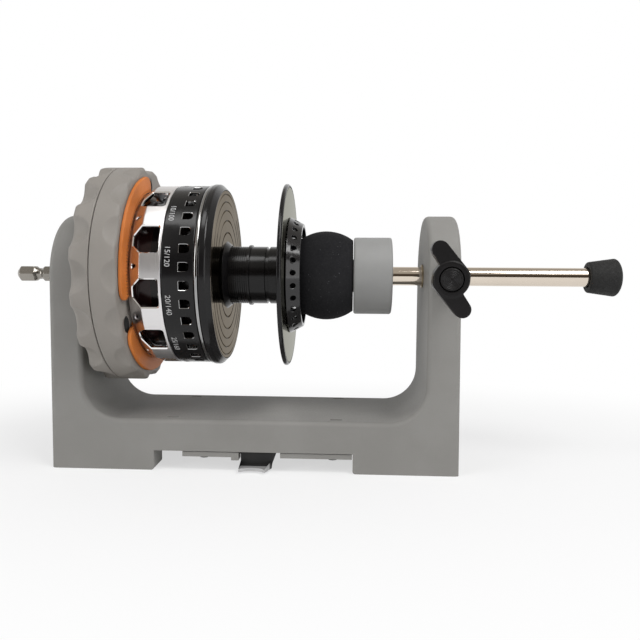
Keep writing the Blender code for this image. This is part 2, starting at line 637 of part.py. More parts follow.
def build_chuck_body(axis, finish):
    """The front half: hub, scalloped rim, three T-slots for the jaw slides and a relief slot between jaws."""
    shaft = SHAFT_RADIUS + SEAT_GAP
    recess = CHUCK_FACE - NUT_RECESS_DEPTH
    profile = [(BODY_BACK, CHUCK_RADIUS, 0), (CHUCK_FACE - SCALLOP_LENGTH_FRONT, CHUCK_RADIUS, 0)]
    profile += [(CHUCK_FACE - RIM_ROUND_FRONT / 2, CHUCK_RADIUS - RIM_ROUND_FRONT / 4, SCALLOP_DEPTH_FRONT)]
    profile += [(CHUCK_FACE, CHUCK_RADIUS - RIM_ROUND_FRONT, SCALLOP_DEPTH_FRONT)]
    body = scalloped("chuck_body", profile, axis, finish)
    middle = (BODY_BACK + CHUCK_FACE) / 2
    hub = [(HUB_END, 0), (HUB_END, HUB_RADIUS), (middle, HUB_RADIUS), (middle, 0)]
    combine(body, turned("chuck_hub_shape", hub, axis, None, 24), "UNION")
    low = HUB_END - OVERRUN
    high = CHUCK_FACE + OVERRUN
    bore = [(low, 0), (low, shaft), (recess, shaft), (recess, NUT_RECESS_RADIUS), (high, NUT_RECESS_RADIUS)]
    bore.append((high, 0))
    combine(body, turned("chuck_bore_cutter", bore, axis, None, 24))
    shoulder = SLIDE_SHOULDER + RUN_GAP
    slot = tee_outline(BODY_BACK - OVERRUN, shoulder, high, SLIDE_FLANGE_WIDTH / 2 + RUN_GAP,
                       SLIDE_WIDTH / 2 + RUN_GAP)
    outer = SLIDE_OUTER + JAW_TRAVEL + RUN_GAP
    jaws = spaced(JAW_COUNT, JAW_FIRST_ANGLE)
    combine(body, radial_prisms("jaw_slot_cutter", slot, SLIDE_INNER - RUN_GAP, outer, jaws, axis))
    half = RELIEF_WIDTH / 2
    floor = CHUCK_FACE - RELIEF_DEPTH
    relief = [(floor, -half), (floor, half), (high, half), (high, -half)]
    between = spaced(JAW_COUNT, JAW_FIRST_ANGLE + math.pi / JAW_COUNT)
    combine(body, radial_prisms("relief_cutter", relief, RELIEF_INNER, RELIEF_OUTER, between, axis))


def tee_outline(back, shoulder, front, flange, neck):
    """(X, distance across) of a T whose wide flange lies at the back."""
    return [(back, -flange), (shoulder, -flange), (shoulder, -neck), (front, -neck), (front, neck),
            (shoulder, neck), (shoulder, flange), (back, flange)]


def build_jaw(index, pivot, steel, pad_finish, screw_finish):
    """A T-shaped slide whose rack teeth sit between the scroll's turns, and its stepped grip pad."""
    angle = JAW_FIRST_ANGLE + 2 * math.pi * index / JAW_COUNT
    outline = tee_outline(SLIDE_BACK, SLIDE_SHOULDER, SLIDE_TOP, SLIDE_FLANGE_WIDTH / 2, SLIDE_WIDTH / 2)
    slide = radial_prisms(f"jaw_slide_{index + 1}", outline, SLIDE_INNER, SLIDE_OUTER, [angle], pivot, steel)
    floor = RING_FACE + RUN_GAP
    for tooth, radius in enumerate(tooth_radii(angle)):
        spread = math.asin(TOOTH_HALF_WIDTH / radius)
        start = radius - SCROLL_PITCH * angle / (2 * math.pi)
        shape = spiral(f"jaw_tooth_{index + 1}_{tooth + 1}_shape", angle - spread, angle + spread, TOOTH_WIDTH,
                       floor, SLIDE_SHOULDER - SLIDE_FLANGE_HEIGHT / 2, start, pivot)
        combine(slide, shape, "UNION")
    y, z = radial(angle, JAW_SCREW_PLACE)
    spot = empty(f"jaw_screw_{index + 1}_place", (0, y, z), pivot)
    deep = SLIDE_TOP - JAW_SCREW_LENGTH - SEAT_GAP
    hole = JAW_SCREW_RADIUS + SEAT_GAP
    top = SLIDE_TOP + OVERRUN
    combine(slide, turned(f"slide_hole_{index + 1}_cutter", [(deep, 0), (deep, hole), (top, hole), (top, 0)],
                          spot, None, 10))
    build_pad(index, angle, pivot, spot, pad_finish)
    seat = PAD_FRONT - JAW_SCREW_HEAD_HEIGHT - SEAT_GAP / 2
    tip = SLIDE_TOP - JAW_SCREW_LENGTH
    crown = seat + JAW_SCREW_HEAD_HEIGHT
    screw = [(tip, 0), (tip, JAW_SCREW_RADIUS), (seat, JAW_SCREW_RADIUS), (seat, JAW_SCREW_HEAD_RADIUS)]
    screw += [(crown, JAW_SCREW_HEAD_RADIUS), (crown, 0)]
    turned(f"jaw_screw_{index + 1}", screw, spot, screw_finish, 10)


def tooth_radii(angle):
    """The middles of the grooves that lie under the slide, half a pitch out from each turn of the ridge."""
    first = SCROLL_START_RADIUS + SCROLL_PITCH * (angle / (2 * math.pi) + 0.5)
    radii = [first + SCROLL_PITCH * turn for turn in range(SCROLL_TURNS)]
    low = SLIDE_INNER + TOOTH_WIDTH / 2
    high = SLIDE_OUTER - TOOTH_WIDTH
    return [radius for radius in radii if low < radius < high]


def build_pad(index, angle, pivot, spot, finish):
    """An arc-shaped pad with rounded corners, thinned in a well that the end of the skirt stands in."""
    corner = PAD_CORNER
    outline = []
    outer = JAW_HALF_ARC - math.asin(corner / (PAD_OUTER - corner))
    inner = JAW_HALF_ARC - math.asin(corner / (PAD_INNER + corner))
    for i in range(13):
        outline.append(radial(angle - outer + 2 * outer * i / 12, PAD_OUTER))
    outline += pad_corner(angle + outer, PAD_OUTER - corner, angle + outer, angle + JAW_HALF_ARC + math.pi / 2)
    outline += pad_corner(angle + inner, PAD_INNER + corner, angle + JAW_HALF_ARC + math.pi / 2,
                          angle + inner + math.pi)
    for i in range(5):
        outline.append(radial(angle + inner - 2 * inner * i / 4, PAD_INNER))
    outline += pad_corner(angle - inner, PAD_INNER + corner, angle - inner - math.pi,
                          angle - JAW_HALF_ARC - math.pi / 2)
    outline += pad_corner(angle - outer, PAD_OUTER - corner, angle - JAW_HALF_ARC - math.pi / 2, angle - outer)
    pad = prism(f"jaw_pad_{index + 1}", outline, PAD_BACK, PAD_FRONT, "X", pivot, finish)
    base = PAD_BACK + PAD_BASE
    over = PAD_FRONT + OVERRUN
    skirt_edge = SKIRT_RADIUS - SKIRT_CHAMFER
    grip = skirt_edge + (PAD_FRONT - SKIRT_BACK) * SKIRT_CHAMFER / SKIRT_SLOPE + GRIP_GAP
    low = skirt_edge - SKIRT_WALL - JAW_TRAVEL
    well = [(base, low), (base, grip - GRIP_LEAN), (PAD_FRONT, grip), (over, grip), (over, low)]
    combine(pad, turned(f"pad_well_{index + 1}_cutter", well, pivot, None, 30))
    big = PAD_OUTER + OVERRUN
    edge = [(PAD_FRONT - PAD_EDGE, big), (PAD_FRONT - PAD_EDGE, PAD_OUTER), (PAD_FRONT, PAD_OUTER - PAD_EDGE)]
    edge += [(over, PAD_OUTER - PAD_EDGE), (over, big)]
    combine(pad, turned(f"pad_edge_{index + 1}_cutter", edge, pivot, None, 30))
    floor = PAD_FRONT - JAW_SCREW_HEAD_HEIGHT - SEAT_GAP - SEAT_GAP / 2
    wide = JAW_SCREW_HEAD_RADIUS + SEAT_GAP
    hole = JAW_SCREW_RADIUS + SEAT_GAP
    under = PAD_BACK - OVERRUN
    bore = [(under, 0), (under, hole), (floor, hole), (floor, wide), (over, wide), (over, 0)]
    combine(pad, turned(f"pad_hole_{index + 1}_cutter", bore, spot, None, 10))


def pad_corner(angle, radius, start, end):
    """Three points inside a rounded corner, whose directions run from start to end."""
    centre = radial(angle, radius)
    points = []
    for i in range(1, 4):
        turn = start + (end - start) * i / 4
        y, z = radial(turn, PAD_CORNER)
        points.append((centre[0] + y, centre[1] + z))
    return points


def build_spool(axis, silver, black, face_finish, pale):
    build_skirt(axis, silver, black)
    build_band(axis, silver, black)
    build_flange(axis, black, face_finish)
    build_arbor(axis, black)
    build_lip(axis, black, pale)


def build_skirt(axis, silver, black):
    """The polished skirt: a chamfered shell with eleven pointed windows round it."""
    wall = SKIRT_WALL
    slope = SKIRT_BACK + SKIRT_SLOPE
    end = SKIRT_END - SEAT_GAP / 2
    low = SKIRT_RADIUS - SKIRT_CHAMFER
    profile = [(SKIRT_BACK, low), (slope, SKIRT_RADIUS), (end, SKIRT_RADIUS), (end, SKIRT_RADIUS - wall)]
    profile += [(slope + wall / 2, SKIRT_RADIUS - wall), (SKIRT_BACK + wall, low - wall / 2)]
    profile += [(SKIRT_BACK, low - wall / 2)]
    skirt = turned("spool_skirt", profile, axis, silver, 40)
    half = WINDOW_WIDTH / 2
    point = WINDOW_POINT_WIDTH / 2
    shoulder = WINDOW_LEFT + WINDOW_POINT_LENGTH
    corner = WINDOW_CORNER
    window = [(WINDOW_LEFT, -point), (shoulder, -half), (WINDOW_RIGHT - corner, -half)]
    window += [(WINDOW_RIGHT, corner - half), (WINDOW_RIGHT, half - corner), (WINDOW_RIGHT - corner, half)]
    window += [(shoulder, half), (WINDOW_LEFT, point)]
    inside = (DRUM_RADIUS + low) / 2
    outside = SKIRT_RADIUS + OVERRUN
    places = spaced(WINDOW_COUNT, WINDOW_FIRST_ANGLE)
    combine(skirt, radial_prisms("window_cutter", window, inside, outside, places, axis))
    right = BAND_END - SEAT_GAP
    drum = [(DRUM_BACK, DRUM_RADIUS - DRUM_WALL), (DRUM_BACK, DRUM_RADIUS + DRUM_WALL / 2)]
    drum += [(DRUM_BACK + DRUM_WALL, DRUM_RADIUS + DRUM_WALL / 2), (DRUM_BACK + DRUM_WALL, DRUM_RADIUS)]
    drum += [(right, DRUM_RADIUS), (right, DRUM_RADIUS - DRUM_WALL)]
    turned("spool_drum", drum, axis, black, 24)


def build_band(axis, silver, black):
    """The anodised band behind the line flange, with its D-shaped ports, and a bright trim ring."""
    start = SKIRT_END + SEAT_GAP / 2
    inner = BAND_RADIUS - BAND_WALL
    profile = [(start, inner), (start, BAND_RADIUS), (BAND_END, BAND_RADIUS), (BAND_END, inner)]
    band = turned("spool_band", profile, axis, black, 30)
    half = PORT_WIDTH / 2
    left = PORT_PLACE - PORT_LENGTH / 2
    bend = PORT_PLACE + PORT_LENGTH / 2 - half
    port = [(left, half), (left, -half)] + arc((bend, 0), half, -math.pi / 2, math.pi / 2, 2)
    places = spaced(PORT_COUNT, PORT_FIRST_ANGLE)
    cutter = radial_prisms("port_cutter", port, inner - OVERRUN, BAND_RADIUS + OVERRUN, places, axis)
    combine(band, cutter)
    left = BAND_END + SEAT_GAP
    right = left + TRIM_LENGTH
    trim = [(left, inner), (left, TRIM_RADIUS), (right, TRIM_RADIUS), (right, inner)]
    turned("trim_ring", trim, axis, silver, 28)


def build_flange(axis, black, face_finish):
    """The line flange, recessed for its face plate, which is turned with fine rings."""
    back = BAND_END + TRIM_LENGTH + 2 * SEAT_GAP
    floor = FLANGE_FACE - FACE_THICKNESS - SEAT_GAP
    bore = ARBOR_RADIUS - ARBOR_STEP
    rim = FACE_RADIUS + SEAT_GAP
    profile = [(back, bore), (back, FLANGE_RADIUS - FLANGE_BEVEL / 2), (back + FLANGE_BEVEL / 2, FLANGE_RADIUS)]
    profile += [(FLANGE_FACE - FLANGE_BEVEL, FLANGE_RADIUS), (FLANGE_FACE, FLANGE_RADIUS - FLANGE_BEVEL)]
    profile += [(FLANGE_FACE, rim), (floor, rim), (floor, bore)]
    turned("line_flange", profile, axis, black, 36)
    back = floor + SEAT_GAP
    inner = ARBOR_RADIUS + SEAT_GAP
    ring = [(back, inner), (back, FACE_RADIUS), (FLANGE_FACE, FACE_RADIUS)]
    pitch = (FACE_RADIUS - inner) / (FACE_GROOVES + 1)
    for i in range(FACE_GROOVES):
        radius = FACE_RADIUS - pitch * (i + 1)
        half = FACE_GROOVE_WIDTH / 2
        ring += [(FLANGE_FACE, radius + half), (FLANGE_FACE - FACE_GROOVE_DEPTH, radius)]
        ring += [(FLANGE_FACE, radius - half)]
    ring.append((FLANGE_FACE, inner))
    turned("flange_face", ring, axis, face_finish, 24)


def build_arbor(axis, black):
    """The hub that the line is wound on, ribbed at its left end and stepped by two shallow grooves."""
    left = FLANGE_FACE - FACE_THICKNESS
    right = LIP_BACK - SEAT_GAP
    low = ARBOR_RADIUS - ARBOR_STEP
    profile = [(left, ARBOR_BORE), (left, ARBOR_RADIUS)]
    for i in range(ARBOR_RIB_COUNT):
        start = left + ARBOR_RIB_PITCH * (i + 1)
        profile += [(start, ARBOR_RADIUS), (start, low), (start + ARBOR_RIB_PITCH / 2, low)]
        profile += [(start + ARBOR_RIB_PITCH / 2, ARBOR_RADIUS)]
    ring = ARBOR_RING_PLACE
    wide = ARBOR_RING_WIDTH
    profile += [(ring, ARBOR_RADIUS), (ring, ARBOR_RADIUS + ARBOR_STEP), (ring + wide, ARBOR_RADIUS + ARBOR_STEP)]
    profile += [(ring + wide, ARBOR_RADIUS)]
    for share in ARBOR_GROOVE_SHARES:
        start = ring + wide + (right - ring - wide) * share
        profile += [(start, ARBOR_RADIUS), (start, low), (start + ARBOR_GROOVE_WIDTH, low)]
        profile += [(start + ARBOR_GROOVE_WIDTH, ARBOR_RADIUS)]
    profile += [(right, ARBOR_RADIUS), (right, ARBOR_BORE)]
    turned("spool_arbor", profile, axis, black, 16)


def build_lip(axis, black, pale):
    """The front lip with its bevelled edge and pale plate, and the drilled nose ring that the ball seats in."""
    back = LIP_BACK
    floor = LIP_FACE - LIP_PLATE_THICKNESS - SEAT_GAP
    bore = seat_radius(LIP_FACE)
    profile = [(back, bore), (back, LIP_RADIUS - LIP_BEVEL / 2), (back + LIP_BEVEL / 2, LIP_RADIUS)]
    profile += [(LIP_FACE - LIP_BEVEL / 2, LIP_RADIUS), (LIP_FACE, LIP_RADIUS - LIP_BEVEL / 2)]
    profile += [(LIP_FACE, LIP_PLATE_RADIUS + SEAT_GAP), (floor, LIP_PLATE_RADIUS + SEAT_GAP), (floor, bore)]
    turned("front_lip", profile, axis, black, 36)
    left = floor + SEAT_GAP
    inner = NOSE_BASE_RADIUS / 2
    plate = [(left, inner), (left, LIP_PLATE_RADIUS), (LIP_FACE, LIP_PLATE_RADIUS), (LIP_FACE, inner)]
    turned("lip_plate", plate, axis, pale, 28)
    web = NOSE_BACK + NOSE_WEB
    profile = [(NOSE_BACK, seat_radius(NOSE_BACK)), (NOSE_BACK, NOSE_BASE_RADIUS), (NOSE_FRONT, NOSE_END_RADIUS)]
    profile += [(NOSE_FRONT, NOSE_END_RADIUS - NOSE_WALL), (web, NOSE_BASE_RADIUS - NOSE_WALL - NOSE_WEB / 2)]
    profile += [(web, seat_radius(web))]
    nose = turned("nose_ring", profile, axis, black, 24)
    spot = arc(((NOSE_BACK + NOSE_FRONT) / 2, 0), NOSE_HOLE_RADIUS, 0, 2 * math.pi, 6)[:-1]
    low = NOSE_END_RADIUS - 2 * NOSE_WALL
    cutter = radial_prisms("nose_hole_cutter", spot, low, NOSE_BASE_RADIUS + OVERRUN,
                           spaced(NOSE_HOLE_COUNT, NOSE_FIRST_ANGLE), axis)
    combine(nose, cutter)


def seat_radius(place_x):
    """The ball's radius at a place along X, with the seat's gap added."""
    return math.sqrt(BALL_RADIUS ** 2 - (BALL_CENTRE - place_x) ** 2) + RUN_GAP


def build_live_centre(axis, rubber, grey, steel):
    """The rubber ball on its collar's spigot, and the two bearings inside the collar."""
    end = COLLAR_LEFT - SEAT_GAP
    last = math.acos((end - BALL_CENTRE) / BALL_RADIUS)
    profile = [(BALL_CENTRE - BALL_RADIUS, 0)]
    for i in range(1, 11):
        angle = math.pi - (math.pi - last) * i / 10
        profile.append((BALL_CENTRE + BALL_RADIUS * math.cos(angle), BALL_RADIUS * math.sin(angle)))
    bore = SPIGOT_RADIUS + SEAT_GAP
    deep = COLLAR_LEFT - SPIGOT_LENGTH - SEAT_GAP
    profile += [(end, bore), (deep, bore), (deep, 0)]
    turned("rubber_ball", profile, axis, rubber, 24)
    seat = BEARING_OUTER_RADIUS + SEAT_GAP
    edge = COLLAR_ROUND
    floor = COLLAR_LEFT + COLLAR_WALL
    tip = COLLAR_LEFT - SPIGOT_LENGTH
    profile = [(tip, 0), (tip, SPIGOT_RADIUS), (COLLAR_LEFT, SPIGOT_RADIUS), (COLLAR_LEFT, COLLAR_RADIUS - edge)]
    profile += [(COLLAR_LEFT + edge, COLLAR_RADIUS), (COLLAR_RIGHT - edge, COLLAR_RADIUS)]
    profile += [(COLLAR_RIGHT, COLLAR_RADIUS - edge), (COLLAR_RIGHT, seat), (floor, seat), (floor, 0)]
    turned("collar", profile, axis, grey, 24)
    for index in range(2):
        bearing(f"collar_bearing_{index + 1}", collar_bearing_left(index), axis, steel, ROD_RADIUS + SEAT_GAP)


def collar_bearing_left(index):
    """The bearings sit between the clip on the rod's end and the rod's shoulder."""
    last = COLLAR_RIGHT - ROD_SHOULDER_LENGTH - SEAT_GAP - BEARING_WIDTH
    return last - (1 - index) * (BEARING_WIDTH + BEARING_SPREAD)


def build_tail_rod(axis, chrome, rubber, steel):
    """The rod with its clip groove and shoulder, the clip, and the rubber cap on its far end."""
    clip_right = collar_bearing_left(0) - SEAT_GAP
    clip_left = clip_right - CLIP_THICKNESS
    groove = ROD_RADIUS - CLIP_GROOVE
    start = COLLAR_LEFT + COLLAR_WALL + RUN_GAP
    shoulder = COLLAR_RIGHT - ROD_SHOULDER_LENGTH
    end = CAP_LEFT + CAP_DEPTH
    profile = [(start, 0), (start, ROD_RADIUS), (clip_left - SEAT_GAP, ROD_RADIUS)]
    profile += [(clip_left - SEAT_GAP, groove), (clip_right, groove), (clip_right, ROD_RADIUS)]
    profile += [(shoulder, ROD_RADIUS), (shoulder, ROD_SHOULDER_RADIUS), (COLLAR_RIGHT, ROD_SHOULDER_RADIUS)]
    profile += [(COLLAR_RIGHT, ROD_RADIUS), (end - ROD_EDGE, ROD_RADIUS), (end, ROD_RADIUS - ROD_EDGE), (end, 0)]
    turned("tail_rod", profile, axis, chrome, 16)
    bore = groove + SEAT_GAP
    clip = [(clip_left, bore), (clip_left, CLIP_RADIUS), (clip_right - SEAT_GAP / 2, CLIP_RADIUS)]
    clip.append((clip_right - SEAT_GAP / 2, bore))
    turned("rod_clip", clip, axis, steel, 16)
    inner = ROD_RADIUS + SEAT_GAP
    dome = CAP_RIGHT - CAP_DOME
    deep = end + SEAT_GAP
    profile = [(CAP_LEFT, inner), (CAP_LEFT, CAP_START_RADIUS), (dome, CAP_END_RADIUS)]
    for i in range(1, 5):
        angle = math.pi / 2 * i / 5
        profile.append((dome + CAP_DOME * math.sin(angle), CAP_END_RADIUS * math.cos(angle)))
    profile += [(CAP_RIGHT, 0), (deep, 0), (deep, inner)]
    cap = [(deep, 0), (deep, inner)] + profile[:-2]
    turned("end_cap", cap, axis, rubber, 16)


def build_bush(axis, brass):
    """The bush that guides the rod through the right post, drilled across for the clamp pad."""
    left = INNER_RIGHT - BUSH_PROUD
    right = HALF_LENGTH - SEAT_GAP
    bore = ROD_RADIUS + SEAT_GAP
    profile = [(left, bore), (left, BUSH_RADIUS), (right, BUSH_RADIUS), (right, bore)]
    return turned("rod_bush", profile, axis, brass, 16)


def stadium(first, first_radius, second, second_radius, steps=5):
    """The outline round two circles and their two common tangents."""
    run = Vector(second) - Vector(first)
    facing = math.atan2(run.y, run.x)
    lean = math.acos((first_radius - second_radius) / run.length)
    far = arc(second, second_radius, facing - lean, facing + lean, steps)
    near = arc(first, first_radius, facing + lean, facing + 2 * math.pi - lean, steps)
    return far + near


def build_clamp(clamp_axis, pad_pivot, knob_pivot, bush, plastic, brass, steel):
    """The wing knob and its stud, the brass insert that it screws through, and the pad that bears on the rod."""
    hole = STUD_RADIUS + SEAT_GAP
    front = HALF_WIDTH - SEAT_GAP
    back = front - INSERT_LENGTH
    insert = [(back, hole), (back, INSERT_RADIUS), (front, INSERT_RADIUS), (front, hole)]
    turned("clamp_insert", insert, clamp_axis, brass, 16, KNOB_TURN)
    near = ROD_RADIUS + SEAT_GAP
    far = near + CLAMP_PAD_LENGTH
    pad = [(near, 0), (near, CLAMP_PAD_RADIUS), (far, CLAMP_PAD_RADIUS), (far, 0)]
    turned("clamp_pad", pad, pad_pivot, brass, 16, KNOB_TURN)
    hole = CLAMP_PAD_RADIUS + SEAT_GAP
    reach = BUSH_RADIUS + OVERRUN
    combine(bush, turned("bush_cross_cutter", [(0, 0), (0, hole), (reach, hole), (reach, 0)], clamp_axis,
                         None, 16, KNOB_TURN))
    crown = KNOB_FRONT - KNOB_CAP_DEPTH / 2
    wing_front = KNOB_FRONT - KNOB_WING_SET_BACK
    wing_back = wing_front - KNOB_WING_THICKNESS
    stem_back = wing_back - KNOB_STEM_LENGTH
    stud_end = crown - KNOB_CAP_DEPTH - 2 * SEAT_GAP
    bore = STUD_RADIUS + SEAT_GAP
    recess = KNOB_CAP_RADIUS + SEAT_GAP
    floor = crown - KNOB_CAP_DEPTH
    hub = [(stem_back, bore), (stem_back, KNOB_STEM_RADIUS), (wing_back, KNOB_STEM_RADIUS)]
    hub += [(wing_back, KNOB_HUB_RADIUS), (crown - KNOB_WING_SET_BACK / 2, KNOB_HUB_RADIUS)]
    hub += [(crown, KNOB_HUB_RADIUS - KNOB_WING_SET_BACK / 2), (crown, recess), (floor, recess)]
    hub.append((floor, bore))
    knob = turned("wing_knob", hub, knob_pivot, plastic, 16, KNOB_TURN)
    offset = KNOB_HUB_RADIUS - KNOB_ROOT_RADIUS
    for name, way in (("upper", 1), ("lower", -1)):
        tip = wing_point(0, way * KNOB_WING_REACH)
        root = wing_point(way * offset, 0)
        outline = stadium(root, KNOB_ROOT_RADIUS, tip, KNOB_LOBE_RADIUS)
        wing = prism(f"{name}_wing_shape", outline, -wing_front, -wing_back, "Y", knob_pivot, None)
        combine(knob, wing, "UNION")
    clear = turned("knob_bore_cutter", [(stem_back - OVERRUN, 0), (stem_back - OVERRUN, bore), (floor, bore),
                   (floor, recess), (KNOB_FRONT + OVERRUN, recess), (KNOB_FRONT + OVERRUN, 0)], knob_pivot,
                   None, 16, KNOB_TURN)
    combine(knob, clear)
    cap = [(floor + SEAT_GAP, 0), (floor + SEAT_GAP, KNOB_CAP_RADIUS)]
    cap += [(KNOB_FRONT - KNOB_CAP_DEPTH / 4, KNOB_CAP_RADIUS)]
    cap += [(KNOB_FRONT, KNOB_CAP_RADIUS - KNOB_CAP_DEPTH / 2), (KNOB_FRONT, 0)]
    turned("knob_cap", cap, knob_pivot, plastic, 16, KNOB_TURN)
    stud = [(far + SEAT_GAP, 0), (far + SEAT_GAP, STUD_RADIUS), (stud_end, STUD_RADIUS), (stud_end, 0)]
    turned("knob_stud", stud, knob_pivot, steel, 16, KNOB_TURN)


def wing_point(across, along):
    """(X, Z) of a point given across and along the wings, whose line leans by KNOB_TILT."""
    x = across * math.cos(KNOB_TILT) + along * math.sin(KNOB_TILT)
    z = -across * math.sin(KNOB_TILT) + along * math.cos(KNOB_TILT)
    return x, z


def build():
    clear_scene()
    grey = material("grey moulding", (0.24, 0.235, 0.22), 0.6, 0)
    pale_grey = material("pale grey plastic", (0.33, 0.33, 0.32), 0.5, 0)
    dark_sheet = material("dark sheet", (0.05, 0.05, 0.05), 0.45, 0.6)
    steel = material("plated steel", (0.62, 0.60, 0.56), 0.25, 1)
    chrome = material("chromed rod", (0.78, 0.72, 0.66), 0.12, 1)
    brass = material("brass", (0.60, 0.46, 0.24), 0.35, 1)
    orange = material("orange grip pad", (0.55, 0.17, 0.05), 0.55, 0)
    silver = material("polished aluminium", (0.80, 0.78, 0.77), 0.15, 1)
    black = material("black anodised", (0.015, 0.015, 0.016), 0.25, 0.7)
    brown = material("turned flange face", (0.22, 0.20, 0.17), 0.4, 0.5)
    pale = material("pale lip plate", (0.45, 0.45, 0.42), 0.3, 0.8)
    rubber = material("black rubber", (0.012, 0.012, 0.013), 0.8, 0)
    plastic = material("black plastic", (0.02, 0.017, 0.018), 0.45, 0)
    screw = material("dark screw", (0.10, 0.10, 0.10), 0.35, 0.9)

    origin = empty("stand_origin", (STAND_CENTRE_X, 0, 0))
    axis = empty("spindle_axis", (0, 0, AXIS_HEIGHT), origin)
    clamp_axis = empty("clamp_axis", (KNOB_PLACE, 0, AXIS_HEIGHT), origin)
    chuck = empty("chuck_pivot", (0, 0, AXIS_HEIGHT), origin)
    scroll = empty("scroll_pivot", (0, 0, 0), chuck)
    centre = empty("live_centre_pivot", (0, 0, AXIS_HEIGHT), origin)
    rod = empty("tail_rod_slide", (0, 0, AXIS_HEIGHT), origin)
    pad_slide = empty("clamp_pad_slide", (KNOB_PLACE, 0, AXIS_HEIGHT), origin)
    knob = empty("knob_pivot", (0, 0, 0), pad_slide)

    build_frame(origin, axis, clamp_axis, grey)
    build_cover(origin, grey, screw)
    build_saddle(origin, dark_sheet)
    outer_left = -HALF_LENGTH + SEAT_GAP / 2
    inner_left = INNER_LEFT - BEARING_WIDTH - SEAT_GAP / 2
    bearing("spindle_bearing_1", outer_left, axis, steel, SHAFT_RADIUS + SEAT_GAP)
    bearing("spindle_bearing_2", inner_left, axis, steel, SHAFT_RADIUS + SEAT_GAP)
    build_spindle(chuck, steel)
    build_chuck_body(chuck, grey)
    build_scroll_ring(scroll, grey)
    for index in range(JAW_COUNT):
        jaw = empty(f"jaw_{index + 1}_slide", (0, 0, 0), chuck)
        build_jaw(index, jaw, steel, orange, screw)
    build_spool(chuck, silver, black, brown, pale)
    build_live_centre(centre, rubber, pale_grey, steel)
    build_tail_rod(rod, chrome, rubber, steel)
    bush = build_bush(axis, brass)
    build_clamp(clamp_axis, pad_slide, knob, bush, plastic, brass, steel)


build()
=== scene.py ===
"""Bench line winder dressed for its photograph: a moulded U stand, a three-jaw scroll chuck on a drill shank
that grips a reel spool, and a chromed tail rod with a foam live centre and a wing clamp knob.

Sizes are in millimetres and are turned into metres as each mesh is made. Places along X are written from the
middle of the stand, as on the part's own drawing, and radii from the spindle's line.
"""
import math

import bmesh
import bpy
import numpy as np
from mathutils import Matrix


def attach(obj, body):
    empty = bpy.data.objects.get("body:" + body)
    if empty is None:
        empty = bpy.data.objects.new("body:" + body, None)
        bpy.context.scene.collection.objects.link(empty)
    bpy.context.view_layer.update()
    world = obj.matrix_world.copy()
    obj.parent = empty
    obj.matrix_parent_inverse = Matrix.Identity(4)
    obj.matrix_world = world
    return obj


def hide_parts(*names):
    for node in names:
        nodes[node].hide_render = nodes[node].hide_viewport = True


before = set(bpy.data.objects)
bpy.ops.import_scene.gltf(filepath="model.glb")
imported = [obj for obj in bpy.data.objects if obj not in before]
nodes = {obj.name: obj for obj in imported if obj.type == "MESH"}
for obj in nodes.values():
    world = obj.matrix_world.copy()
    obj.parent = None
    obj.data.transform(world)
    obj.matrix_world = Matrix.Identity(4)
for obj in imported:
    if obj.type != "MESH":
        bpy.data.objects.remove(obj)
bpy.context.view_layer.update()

# The camera stands where the photograph was taken: 290 mm in front of the spindle and a little above it,
# turned slightly to the left and looking down at the bench.
camera_place = (0.0188, -0.29045, 0.08708)
camera_turn = math.radians(-3.05)
camera_dip = math.radians(5.25)
camera_roll = math.radians(0.34)
ahead = np.array([math.sin(camera_turn), math.cos(camera_turn), 0.0])
beside = np.array([math.cos(camera_turn), -math.sin(camera_turn), 0.0])
overhead = np.array([0.0, 0.0, 1.0])
sight = ahead * math.cos(camera_dip) - overhead * math.sin(camera_dip)
raised = overhead * math.cos(camera_dip) + ahead * math.sin(camera_dip)
right_hand = beside * math.cos(camera_roll) + raised * math.sin(camera_roll)
upward = raised * math.cos(camera_roll) - beside * math.sin(camera_roll)
camera = bpy.data.objects.new("camera", bpy.data.cameras.new("camera"))
camera.data.sensor_width = 36.0
camera.data.lens = 37.68
camera.data.clip_start = 0.01
turn = np.column_stack([right_hand, upward, -sight])
camera.matrix_world = Matrix.Translation(camera_place) @ Matrix(turn.tolist()).to_4x4()
bpy.context.scene.collection.objects.link(camera)
bpy.context.scene.camera = camera
bpy.context.scene.view_settings.view_transform = "Standard"


# The stand is one glass-filled nylon moulding: two posts with arched heads on a hollow base with two feet.
# All its outside edges are well rounded, and its skin has the fine matt grain of a spark-eroded mould.
stand_middle = -22.625
axis_height = 79.7
stand_half_length = 82.85
stand_half_width = 25.4
post_inside = 69.95
post_fillet = 15.0
base_top = 21.3
base_underside = 8.2
foot_inside, foot_fillet = 42.05, 1.2
channel_half_length, channel_half_width = 78.85, 13.4
bearing_bore, bush_bore, insert_bore = 8.3, 5.0, 4.8
clamp_x = 76.4
mark_radius, mark_reach, mark_depth = 0.75, 1.9, 0.7
mark_middles = ((-33.8, -21), (33.8, -21), (-33.8, 21), (33.8, 21))
draft, draft_top, draft_run = 0.00075, 0.06, 0.04
end_from, end_run = 0.075, 0.005


def add(finish, kind, inputs=(), **choices):
    """A shader node with its own choices made. Each input, by name or number, is a plain value or the output
    of another node."""
    made = finish.node_tree.nodes.new("ShaderNode" + kind)
    for name, choice in choices.items():
        setattr(made, name, choice)
    for name, value in dict(inputs).items():
        if isinstance(value, bpy.types.NodeSocket):
            finish.node_tree.links.new(value, made.inputs[name])
        else:
            made.inputs[name].default_value = value
    return made


def sums(finish, operation, first, second=0.0):
    """One sum on two numbers or outputs."""
    return add(finish, "Math", {0: first, 1: second}, operation=operation).outputs[0]


def spread(finish, value, start, end, low=0.0, high=1.0):
    """A value carried smoothly from the range start..end to the range low..high."""
    inputs = {"Value": value, "From Min": start, "From Max": end, "To Min": low, "To Max": high}
    return add(finish, "MapRange", inputs, interpolation_type="SMOOTHSTEP").outputs[0]


